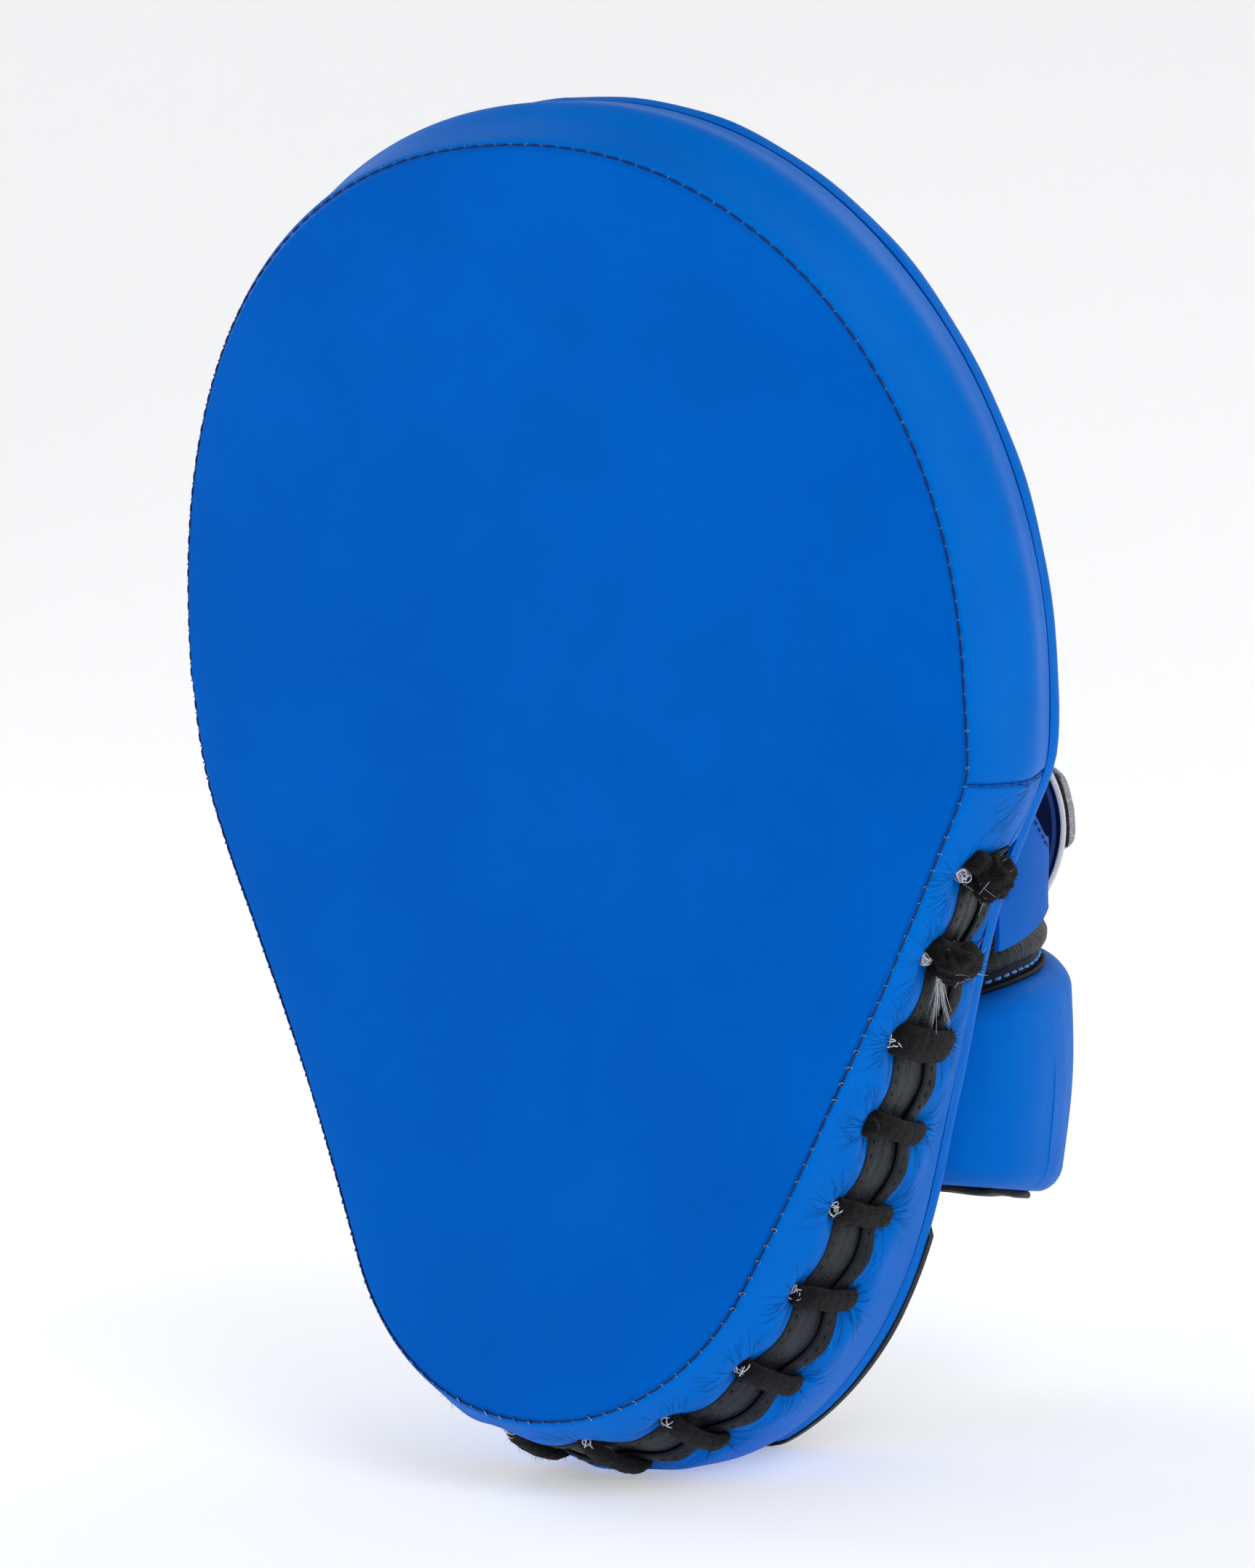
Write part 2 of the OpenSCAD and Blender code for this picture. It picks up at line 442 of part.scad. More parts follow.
module cuff_foam() color([0.9, 0.88, 0.8])
  hoop([for (k = [0 : cuff_n - 1]) let (a = 360 * k / cuff_n, b = top_h(a) - 1.8, c = cuff_bottom + 1.8)
    [K(a, c + 4, 1.8), K(a, b - 4, 1.8), K(a, b - 1, 3.2), K(a, b, 6), K(a, b, cuff_t - 2),
      K(a, c, cuff_t - 2), K(a, c, 6), K(a, c + 1, 3.2)]]);
module cuff_lining() color([0.03, 0.03, 0.04])
  hoop([for (k = [0 : cuff_n - 1]) let (a = 360 * k / cuff_n, b = top_h(a) + 1, c = cuff_bottom + 0.5)
    [K(a, c, cuff_t), K(a, b, cuff_t), K(a, b, cuff_t - 1.6), K(a, c, cuff_t - 1.6)]]);
module cuff_roll() color([0.05, 0.05, 0.06])
  hoop([for (k = [0 : cuff_n - 1]) let (a = 360 * k / cuff_n, b = top_h(a) + 3.2 + roll_d / 2)
    [for (g = [0 : 45 : 315]) K(a, b + roll_d / 2 * sin(g), cuff_t - 4 + roll_d / 2 * cos(g))]]);
module cuff_band() color([0.05, 0.05, 0.06])
  hoop([for (k = [0 : cuff_n - 1]) let (a = 360 * k / cuff_n, b = top_h(a))
    [K(a, b + 0.2, 7.2), K(a, b + 3.1, 7.2), K(a, b + 3.1, cuff_t - 2.2), K(a, b + 0.2, cuff_t - 2.2)]]);
module cuff_hem() color([0.05, 0.05, 0.06])
  hoop([for (k = [0 : cuff_n - 1]) let (a = 360 * k / cuff_n, b = cuff_bottom - 0.2)
    [K(a, b, 6.5), K(a, b, cuff_t), K(a, b - 1.6, cuff_t - 1), K(a, b - 1.6, 7.5)]]);
module cuff_thread() color([0.25, 0.5, 0.85])
  hoop([for (k = [0 : cuff_n - 1]) let (a = 360 * k / cuff_n, b = top_h(a) + 1.4)
    [for (g = [0 : 72 : 288]) K(a, b + 0.4 * sin(g), 6.7 + 0.4 * cos(g))]]);

face_panel();
face_seam_thread();
upper_gusset();
gusset_cross_thread();
lower_front_gusset();
lower_rear_gusset();
front_lace_binding();
rear_lace_binding();
lace_tongue();
lace();
strike_foam();
core_foam();
rear_foam();
back_panel();
heel_patch();
palm_ball_foam();
palm_ball_cover();
hood_shell();
hood_foam();
hood_lining();
hood_hem();
hood_thread();
thumb_wall();
outer_wall();
wall_thread();
hand_panel();
panel_lining();
loop_patch();
hand_strap();
strap_hook();
cuff_shell();
cuff_foam();
cuff_lining();
cuff_roll();
cuff_band();
cuff_hem();
cuff_thread();
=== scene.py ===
"""Curved laced boxing focus mitt, built piece by piece over its CAD frame.

Sizes inside the pattern classes are millimetres on the bent pad; every mesh is in metres.
"""
import logging
import math
from dataclasses import dataclass, field
from enum import Enum
from functools import partial
from typing import Callable, Sequence

import bpy
import numpy as np
from mathutils import Matrix, Vector


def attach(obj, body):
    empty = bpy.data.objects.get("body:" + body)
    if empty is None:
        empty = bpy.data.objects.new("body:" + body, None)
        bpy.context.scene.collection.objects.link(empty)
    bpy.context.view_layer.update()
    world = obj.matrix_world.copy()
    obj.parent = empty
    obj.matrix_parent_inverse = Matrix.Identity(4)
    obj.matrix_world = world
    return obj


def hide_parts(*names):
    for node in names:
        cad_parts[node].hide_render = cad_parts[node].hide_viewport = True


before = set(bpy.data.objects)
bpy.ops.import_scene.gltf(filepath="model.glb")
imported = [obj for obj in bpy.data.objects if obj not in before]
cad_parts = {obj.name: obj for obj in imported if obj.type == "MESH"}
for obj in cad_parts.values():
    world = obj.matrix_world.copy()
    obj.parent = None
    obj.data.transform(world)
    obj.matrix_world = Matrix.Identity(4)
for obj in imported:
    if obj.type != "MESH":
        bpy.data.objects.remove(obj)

log = logging.getLogger("focus_mitt")
Array = np.ndarray
Place = Callable[[Array, Array], Array]
Colour = tuple[float, float, float]
MM = 0.001
TURN = 2 * math.pi
MITT = "mitt"
STRAP = "strap"
CLEAR_OF_GROUND = 0.03


# ---------------------------------------------------------------- small maths
def ease(t: Array) -> Array:
    """Smooth step from 0 to 1."""
    x = np.clip(t, 0.0, 1.0)
    return x * x * (3.0 - 2.0 * x)


def rounded(distance: Array, radius: float) -> Array:
    """Drop of a rounded edge, by the distance from that edge.

    Args:
        distance: Distance inward from the edge.
        radius: Radius of the rounding.

    Returns:
        How far the surface falls away there.
    """
    x = np.clip(radius - distance, 0.0, radius)
    return radius - np.sqrt(np.maximum(radius * radius - x * x, 0.0))


def bump(x: Array, at: float, wide: float, power: int = 2) -> Array:
    """Smooth bump of height 1 about a place, flatter on top for a higher even power."""
    return np.exp(-((x - at) / wide) ** power)


def signed_power(x: Array, power: float) -> Array:
    """Power that keeps the sign, which squares up a circle for a power under 1."""
    return np.sign(x) * np.abs(x) ** power


def squared_circle(share: Array, power_x: float, power_y: float) -> tuple[Array, Array]:
    """Place on a squared-up circle of radius 1 at a share of a turn."""
    return signed_power(np.cos(TURN * share), power_x), signed_power(np.sin(TURN * share), power_y)


def unit(a: Array) -> Array:
    """Vectors scaled to length 1."""
    return a / np.maximum(np.linalg.norm(a, axis=-1, keepdims=True), 1e-12)


def ripple(x: Array, y: Array, seed: float) -> Array:
    """Soft repeatable unevenness between about -1 and 1, for leather that isn't quite even.

    Args:
        x: First measure.
        y: Second measure.
        seed: Seed of the pattern.

    Returns:
        The unevenness.
    """
    return (np.sin(x * 1.7 + seed * 5.1 + 1.3 * np.sin(y * 1.1 + seed))
            + np.sin(y * 2.3 + seed * 2.7 + 1.1 * np.sin(x * 0.9 - seed))
            + np.sin((x + y) * 0.8 + seed * 7.7)) / 3.0


# ---------------------------------------------------------------- mesh work
def deselect() -> None:
    """Clears the selection, because the frame's nodes start selected."""
    if bpy.context.mode != "OBJECT":
        bpy.ops.object.mode_set(mode="OBJECT")
    bpy.ops.object.select_all(action="DESELECT")


def activate(obj: bpy.types.Object) -> None:
    """Makes one object the only selected and active one."""
    deselect()
    obj.select_set(True)
    bpy.context.view_layer.objects.active = obj


def vertices(obj: bpy.types.Object, what: str = "co") -> Array:
    """Place or "normal" of each vertex of a mesh, as an n by 3 array.

    Args:
        obj: The piece.
        what: What to read.

    Returns:
        The vectors.
    """
    found = np.empty(len(obj.data.vertices) * 3)
    obj.data.vertices.foreach_get(what, found)
    return found.reshape(-1, 3)


def set_vertices(obj: bpy.types.Object, co: Array) -> None:
    """Writes vertex places back to a mesh."""
    obj.data.vertices.foreach_set("co", np.ascontiguousarray(co, dtype=float).ravel())
    obj.data.update()


def keep_above(obj: bpy.types.Object, height: float) -> None:
    """Lifts the vertices that are lower than a height in millimetres."""
    co = vertices(obj)
    co[:, 2] = np.maximum(co[:, 2], height * MM)
    set_vertices(obj, co)


def edit_all(*steps: Callable[[], object]) -> None:
    """Runs edit-mode operators with the whole active mesh selected.

    Args:
        steps: Operators to run in turn.
    """
    bpy.ops.object.mode_set(mode="EDIT")
    bpy.ops.mesh.select_all(action="SELECT")
    for step in steps:
        step()
    bpy.ops.object.mode_set(mode="OBJECT")


def merge_doubles() -> None:
    """Edit-mode step: joins points that lie on each other."""
    bpy.ops.mesh.remove_doubles(threshold=2e-6)


def close_holes() -> None:
    """Edit-mode step: fills open loops."""
    bpy.ops.mesh.fill_holes(sides=0)


def point_outwards() -> None:
    """Edit-mode step: turns all faces of a closed mesh outwards."""
    bpy.ops.mesh.normals_make_consistent(inside=False)


def turn_faces() -> None:
    """Edit-mode step: flips every face."""
    bpy.ops.mesh.flip_normals()


def stretch(x: float, y: float, z: float) -> None:
    """Scales the active mesh about its origin."""
    edit_all(partial(bpy.ops.transform.resize, value=(x, y, z)))


def drop_slivers() -> None:
    """Edit-mode step: dissolves faces with no area, such as those at a pole."""
    bpy.ops.mesh.dissolve_degenerate(threshold=1e-7)


def grid_piece(name: str, across: int, along: int, place: Place, closed: bool = False,
               merged: bool = False) -> bpy.types.Object:
    """A cut of leather or cloth, laid out as a flat grid and then moved to its shape.

    Args:
        name: Name of the new piece.
        across: Divisions across the cut.
        along: Divisions along the cut.
        place: Gives places in metres from shares 0 to 1 across and along.
        closed: True where the shape closes on itself and its end loops are filled.
        merged: True where points that meet are joined but no hole is filled.

    Returns:
        The new object at the origin.
    """
    deselect()
    bpy.ops.mesh.primitive_grid_add(x_subdivisions=across, y_subdivisions=along, size=1.0)
    obj = bpy.context.object
    obj.name = name
    obj.data.name = name
    co = vertices(obj) + 0.5
    set_vertices(obj, place(co[:, 0], co[:, 1]))
    if closed:
        edit_all(merge_doubles, close_holes, point_outwards)
    elif merged:
        edit_all(merge_doubles)
    return obj


def set_uv(obj: bpy.types.Object, rule: Callable[[Array, Array], tuple[Array, Array]]) -> None:
    """Rewrites the grid's UV map in the units that its finish reads.

    Args:
        obj: A piece from grid_piece, before any point is merged away.
        rule: Gives the new U and V from the shares across and along.
    """
    layer = obj.data.uv_layers.active.data
    uv = np.empty(len(layer) * 2)
    layer.foreach_get("uv", uv)
    uv = uv.reshape(-1, 2)
    u, v = rule(uv[:, 0], uv[:, 1])
    layer.foreach_set("uv", np.stack([u, v], -1).ravel())


def face_from(obj: bpy.types.Object, inside: Array) -> None:
    """Turns an open sheet so that its faces look away from a point inside the object.

    Args:
        obj: The piece.
        inside: A point inside the object.
    """
    count = len(obj.data.polygons)
    centre, normal, area = np.empty(count * 3), np.empty(count * 3), np.empty(count)
    obj.data.polygons.foreach_get("center", centre)
    obj.data.polygons.foreach_get("normal", normal)
    obj.data.polygons.foreach_get("area", area)
    away = ((centre.reshape(-1, 3) - inside) * normal.reshape(-1, 3)).sum(1) * area
    if away.sum() < 0:
        activate(obj)
        edit_all(turn_faces)


def apply_modifier(obj: bpy.types.Object, kind: str, **settings: object) -> None:
    """Adds one modifier with its settings and applies it.

    Args:
        obj: The piece.
        kind: Type of the modifier.
        settings: Its properties.
    """
    activate(obj)
    modifier = obj.modifiers.new(kind.title(), kind)
    for key, value in settings.items():
        setattr(modifier, key, value)
    bpy.ops.object.modifier_apply(modifier=modifier.name)


def thicken(obj: bpy.types.Object, thickness: float, offset: float = -1.0) -> None:
    """Gives a sheet its thickness in millimetres, inward by default."""
    apply_modifier(obj, "SOLIDIFY", thickness=thickness * MM, offset=offset, use_even_offset=True,
                   thickness_clamp=1.0)


def make_sheet(obj: bpy.types.Object, inside: Array, thickness: float) -> None:
    """Makes a sheet of an open grid piece, with its thickness towards a point inside the object."""
    face_from(obj, inside)
    thicken(obj, thickness)


def smooth(obj: bpy.types.Object, degrees: float = 40.0) -> None:
    """Smooth shading, with edges sharper than the angle kept crisp."""
    activate(obj)
    bpy.ops.object.shade_smooth_by_angle(angle=math.radians(degrees))


def sweep(name: str, path: Array, side: Array, half_wide: Array, half_thick: Array,
          sides: int = 12, loop: bool = False) -> bpy.types.Object:
    """A cord or roll: an oval carried along a path.

    Args:
        name: Name of the new piece.
        path: Points in metres.
        side: The outward direction at each point.
        half_wide: Half width across the outward direction at each point, in metres.
        half_thick: Half thickness along it, in metres.
        sides: Points round the oval.
        loop: True for an endless roll.

    Returns:
        The closed piece.
    """
    count = len(path)
    if loop:
        tangent = unit(np.roll(path, -1, 0) - np.roll(path, 1, 0))
        path, side, tangent = (np.vstack([a, a[:1]]) for a in (path, side, tangent))
        half_wide, half_thick = (np.append(a, a[0]) for a in (half_wide, half_thick))
        count += 1
    else:
        tangent = unit(np.gradient(path, axis=0))
    wide = unit(np.cross(tangent, side))
    up = np.cross(wide, tangent)

    def place(s: Array, t: Array) -> Array:
        """Place on the oval, whose section the first share goes round."""
        k = np.rint(t * (count - 1)).astype(int)
        a = TURN * s
        return (path[k] + wide[k] * (half_wide[k] * np.cos(a))[:, None]
                + up[k] * (half_thick[k] * np.sin(a))[:, None])

    if loop:
        obj = grid_piece(name, sides, count - 1, place, merged=True)
        edit_all(point_outwards)
        return obj
    return grid_piece(name, sides, count - 1, place, closed=True)


def curve_through(points: Array, steps: int) -> Array:
    """Points of a smooth line through the given ones, with the same number of steps between each two.

    Args:
        points: The points to pass.
        steps: Points from one to the next.

    Returns:
        Points of the smooth line.
    """
    p = np.vstack([2 * points[0] - points[1], points, 2 * points[-1] - points[-2]])
    out = []
    for k in range(1, len(p) - 2):
        for t in np.arange(steps) / steps:
            out.append(0.5 * (2 * p[k] + (p[k + 1] - p[k - 1]) * t
                              + (2 * p[k - 1] - 5 * p[k] + 4 * p[k + 1] - p[k + 2]) * t * t
                              + (3 * p[k] - 3 * p[k + 1] + p[k + 2] - p[k - 1]) * t ** 3))
    out.append(p[-2])
    return np.array(out)


def copies(name: str, model: bpy.types.Object, turns: Array, places: Array) -> bpy.types.Object:
    """One piece made of many copies of a small model, which is used up.

    Args:
        name: Name of the joined piece.
        model: The small model, at the origin.
        turns: n matrices of 3 by 3 that turn and scale each copy.
        places: n places.

    Returns:
        The joined piece.
    """
    co = vertices(model)
    faces = [tuple(p.vertices) for p in model.data.polygons]
    spots = np.einsum("nij,vj->nvi", turns, co) + places[:, None, :]
    every = [tuple(i + k * len(co) for i in f) for k in range(len(places)) for f in faces]
    mesh = bpy.data.meshes.new(name)
    mesh.from_pydata(spots.reshape(-1, 3).tolist(), [], every)
    mesh.update()
    bpy.data.objects.remove(model)
    obj = bpy.data.objects.new(name, mesh)
    bpy.context.scene.collection.objects.link(obj)
    return obj


def stitch_model(length: float, radius: float) -> bpy.types.Object:
    """One sewn stitch: a short round bar along X with sunk, tapered ends, in metres.

    Args:
        length: Length in metres.
        radius: Radius in metres.

    Returns:
        The stitch at the origin.
    """
    deselect()
    bpy.ops.mesh.primitive_cylinder_add(vertices=7, radius=radius, depth=length, end_fill_type="TRIFAN",
                                        rotation=(0.0, math.pi / 2, 0.0))
    bpy.ops.object.transform_apply(rotation=True)
    obj = bpy.context.object
    edit_all(partial(bpy.ops.mesh.subdivide, number_cuts=2))
    co = vertices(obj)
    t = np.abs(co[:, 0]) / (length / 2)
    co[:, 1:] *= np.where(t > 0.9, 0.45, 1.0)[:, None]
    co[:, 2] -= radius * 1.4 * t ** 4
    set_vertices(obj, co)
    return obj


def fibre_model(bend: float) -> bpy.types.Object:
    """One loose fibre: a thin cone of length 1 along Z that curls over.

    Args:
        bend: How far its end curls, as a share of its length.

    Returns:
        The fibre at the origin.
    """
    deselect()
    bpy.ops.mesh.primitive_cone_add(vertices=3, radius1=1.0, radius2=0.35, depth=1.0,
                                    end_fill_type="NOTHING", location=(0.0, 0.0, 0.5))
    bpy.ops.object.transform_apply(location=True)
    obj = bpy.context.object
    for height in (0.36, 0.7):
        edit_all(partial(bpy.ops.mesh.bisect, plane_co=(0.0, 0.0, height), plane_no=(0.0, 0.0, 1.0)))
    obj["bend"] = bend
    return obj


def fibres(name: str, model: bpy.types.Object, roots: Array, ways: Array, lengths: Array,
           radius: float, seed: int) -> bpy.types.Object:
    """Many loose fibres that start at given roots and curl on their way.

    Args:
        name: Name of the joined piece.
        model: One fibre from fibre_model, used up.
        roots: Where the fibres start.
        ways: Direction of each fibre.
        lengths: Length of each fibre, in metres.
        radius: Radius of a fibre, in metres.
        seed: Seed of the curl.

    Returns:
        The joined piece.
    """
    rng = np.random.default_rng(seed)
    z = unit(ways)
    x = unit(np.cross(z, unit(rng.normal(size=z.shape))))
    y = np.cross(z, x)
    turns = np.stack([x * radius, y * radius, z * lengths[:, None]], -1)
    bend = float(model["bend"])
    count = len(model.data.vertices)
    height = vertices(model)[:, 2]
    obj = copies(name, model, turns, roots)
    co = vertices(obj).reshape(-1, count, 3)
    curl = unit(rng.normal(size=z.shape))
    curl -= z * (curl * z).sum(1, keepdims=True)
    co += curl[:, None, :] * (lengths[:, None, None] * bend * (height ** 2)[None, :, None])
    set_vertices(obj, co.reshape(-1, 3))
    return obj


# ---------------------------------------------------------------- shader work
class Graph:
    """Short ways to lay out shader nodes in one tree."""

    def __init__(self, tree: bpy.types.NodeTree) -> None:
        """Starts on an empty tree."""
        self.tree = tree
        tree.nodes.clear()

    def node(self, kind: str, feeds: dict[str | int, object] | None = None,
             **settings: object) -> bpy.types.Node:
        """Adds one node.

        Args:
            kind: Type of the node.
            feeds: What each of its inputs is fed, an output or a value.
            settings: Values of its properties.

        Returns:
            The new node.
        """
        made = self.tree.nodes.new(kind)
        for key, value in settings.items():
            setattr(made, key, value)
        for key, value in (feeds or {}).items():
            self.feed(made.inputs[key], value)
        return made

    def feed(self, socket: bpy.types.NodeSocket, value: object) -> None:
        """Links an output to a socket, or sets the socket's own value."""
        if isinstance(value, bpy.types.NodeSocket):
            self.tree.links.new(value, socket)
        else:
            socket.default_value = value

    def object_spot(self) -> bpy.types.NodeSocket:
        """Place on the object, in metres."""
        return self.node("ShaderNodeTexCoord").outputs["Object"]

    def math(self, operation: str, *values: object) -> bpy.types.NodeSocket:
        """One Math node, with 0 for each value that isn't given."""
        three = (*values, 0.0, 0.0, 0.0)[:3]
        return self.node("ShaderNodeMath", dict(enumerate(three)), operation=operation).outputs[0]

    def times(self, a: object, b: object) -> bpy.types.NodeSocket:
        """Product of two values."""
        return self.math("MULTIPLY", a, b)

    def from_half(self, value: object) -> bpy.types.NodeSocket:
        """How far a value is from a half, either way."""
        return self.math("ABSOLUTE", self.math("SUBTRACT", value, 0.5))

    def span(self, value: object, low: object, high: object, to_low: float = 0.0,
             to_high: float = 1.0) -> bpy.types.NodeSocket:
        """Maps a range smoothly to another one and clamps it."""
        return self.node("ShaderNodeMapRange", dict(enumerate((value, low, high, to_low, to_high))),
                         interpolation_type="SMOOTHSTEP", clamp=True).outputs[0]

    def mix(self, factor: object, a: object, b: object) -> bpy.types.NodeSocket:
        """Mixes two colours."""
        a, b = ((*x, 1.0) if isinstance(x, tuple) and len(x) == 3 else x for x in (a, b))
        return self.node("ShaderNodeMix", {0: factor, 6: a, 7: b}, data_type="RGBA").outputs[2]

    def noise(self, vector: object, scale: object, detail: float = 2.0,
              rough: float = 0.5) -> bpy.types.NodeSocket:
        """Noise value."""
        return self.node("ShaderNodeTexNoise", {"Vector": vector, "Scale": scale, "Detail": detail,
                                                "Roughness": rough}).outputs[0]

    def stretched(self, vector: object, scale: tuple[float, float, float]) -> bpy.types.NodeSocket:
        """Coordinates scaled differently along each axis."""
        return self.node("ShaderNodeMapping", {"Vector": vector, "Scale": scale}).outputs[0]


class Effects:
    """The shared surface effects, each built once as a node group."""

    def __init__(self) -> None:
        """Builds every group."""
        self.grain = self._grain()
        self.creases = self._creases()
        self.weave = self._weave()
        self.specks = self._specks()

    @staticmethod
    def _group(name: str, label: str, default: float,
               outputs: Sequence[str]) -> tuple[Graph, object, object, bpy.types.Node]:
        """An empty shader node group with a vector and one number as inputs.

        Args:
            name: Name of the group.
            label: Name of the number.
            default: Its default.
            outputs: Names of the value outputs.

        Returns:
            The graph, the vector, the number and the output node.
        """
        tree = bpy.data.node_groups.new(name, "ShaderNodeTree")
        tree.interface.new_socket(name="Vector", in_out="INPUT", socket_type="NodeSocketVector")
        number = tree.interface.new_socket(name=label, in_out="INPUT", socket_type="NodeSocketFloat")
        number.default_value = default
        for each in outputs:
            tree.interface.new_socket(name=each, in_out="OUTPUT", socket_type="NodeSocketFloat")
        graph = Graph(tree)
        start = graph.node("NodeGroupInput")
        return graph, start.outputs["Vector"], start.outputs[label], graph.node("NodeGroupOutput")

    def _grain(self) -> bpy.types.NodeTree:
        """Leather grain: small cells broken up by noise, and a slow mottle.

        Returns:
            The node group.
        """
        g, spot, scale, end = self._group("leather_grain", "Scale", 900.0, ["Height", "Mottle"])
        warp = g.noise(spot, g.times(scale, 0.35), 2.0)
        moved = g.node("ShaderNodeVectorMath", {0: warp, 1: (0.0012, 0.0012, 0.0012), 2: spot},
                       operation="MULTIPLY_ADD").outputs[0]
        cells = g.node("ShaderNodeTexVoronoi", {"Vector": moved, "Scale": scale}, feature="DISTANCE_TO_EDGE")
        pores = g.span(cells.outputs["Distance"], 0.0, 0.22)
        fine = g.noise(spot, g.times(scale, 2.6), 3.0)
        g.feed(end.inputs["Height"], g.math("MULTIPLY_ADD", fine, 0.6, g.times(pores, 0.5)))
        g.feed(end.inputs["Mottle"], g.noise(spot, 26.0, 4.0, 0.6))
        return g.tree

    def _creases(self) -> bpy.types.NodeTree:
        """Hair-fine creases that run out from each lace hole; their mask also darkens the leather there as
        painted shade.

        U counts lace bars and V is the distance from the opening's middle in centimetres.

        Returns:
            The node group.
        """
        g, spot, reach, end = self._group("lace_creases", "Reach", 1.2, ["Height", "Mask"])
        u, v = g.node("ShaderNodeSeparateXYZ", {0: spot}).outputs[:2]
        bar = g.math("FLOOR", g.math("ADD", u, 0.5))
        x = g.times(g.math("SUBTRACT", u, bar), 1.75)
        y = g.math("SUBTRACT", g.math("ABSOLUTE", v), 1.0)
        far = g.math("SQRT", g.math("ADD", g.times(x, x), g.times(y, y)))
        angle = g.math("ARCTAN2", y, x)
        polar = g.node("ShaderNodeCombineXYZ", {0: g.times(angle, 7.0), 1: g.times(bar, 7.3),
                                                2: g.times(far, 1.1)}).outputs[0]
        line = g.span(g.from_half(g.noise(polar, 1.0, 2.0)), 0.0, 0.05, 1.0, 0.0)
        fade = g.times(g.span(far, 0.2, reach, 1.0, 0.0), g.span(far, 0.1, 0.22))
        patchy = g.span(g.noise(polar, 0.33, 1.0), 0.36, 0.56)
        mask = g.times(line, g.times(fade, patchy))
        g.feed(end.inputs["Height"], g.times(mask, -1.0))
        g.feed(end.inputs["Mask"], mask)
        return g.tree

    def _weave(self) -> bpy.types.NodeTree:
        """Plain weave: two sets of yarns that pass over each other.

        Returns:
            The node group.
        """
        g, spot, scale, end = self._group("cloth_weave", "Scale", 900.0, ["Height", "Mask"])
        scaled = g.node("ShaderNodeVectorMath", operation="SCALE")
        g.feed(scaled.inputs[0], spot)
        g.feed(scaled.inputs["Scale"], scale)
        x, y, z = g.node("ShaderNodeSeparateXYZ", {0: scaled.outputs[0]}).outputs
        both = g.times(g.math("SINE", g.math("ADD", x, y)), g.math("SINE", g.math("SUBTRACT", z, x)))
        g.feed(end.inputs["Height"], g.math("MULTIPLY_ADD", both, 0.5, 0.5))
        g.feed(end.inputs["Mask"], g.span(both, -0.4, 0.6))
        return g.tree

    def _specks(self) -> bpy.types.NodeTree:
        """A few tiny specks of dust.

        Returns:
            The node group.
        """
        g, spot, scale, end = self._group("dust_specks", "Scale", 55.0, ["Mask"])
        cells = g.node("ShaderNodeTexVoronoi", {"Vector": spot, "Scale": scale}, feature="F1")
        near = g.span(cells.outputs["Distance"], 0.010, 0.016, 1.0, 0.0)
        g.feed(end.inputs["Mask"], g.times(near, g.span(g.noise(spot, 19.0, 0.0), 0.60, 0.66)))
        return g.tree


class Finish:
    """Base of every finish: a named material made on first use."""

    name: str
    slot: str

    def material(self, effects: Effects) -> bpy.types.Material:
        """The finish's material, made once.

        Args:
            effects: The shared effects.

        Returns:
            The material.
        """
        found = bpy.data.materials.get(self.name)
        if found:
            return found
        made = bpy.data.materials.new(self.name)
        made.use_nodes = True
        self._paint(Graph(made.node_tree), effects)
        return made

    def _paint(self, g: Graph, effects: Effects) -> None:
        """Lays out the nodes; each finish has its own."""
        raise NotImplementedError

    @staticmethod
    def _shader(g: Graph, **values: object) -> None:
        """A Principled shader wired to the output, with values on its own sockets."""
        feeds = {key.replace("_", " "): value for key, value in values.items()}
        g.node("ShaderNodeOutputMaterial", {"Surface": g.node("ShaderNodeBsdfPrincipled", feeds).outputs[0]})

    @staticmethod
    def _group(g: Graph, tree: bpy.types.NodeTree, vector: object, **values: float) -> bpy.types.Node:
        """One shared effect placed in this material."""
        return g.node("ShaderNodeGroup", {"Vector": vector, **values}, node_tree=tree)

    @staticmethod
    def _bump(g: Graph, height: object, distance: float, below: object = None) -> bpy.types.NodeSocket:
        """A bump from a height, over another normal if one is given.

        Args:
            g: The material's graph.
            height: The height.
            distance: How far white stands over black, in metres.
            below: The other normal.

        Returns:
            The normal.
        """
        over = {} if below is None else {"Normal": below}
        return g.node("ShaderNodeBump", {"Strength": 1.0, "Distance": distance, "Height": height,
                                         **over}).outputs[0]


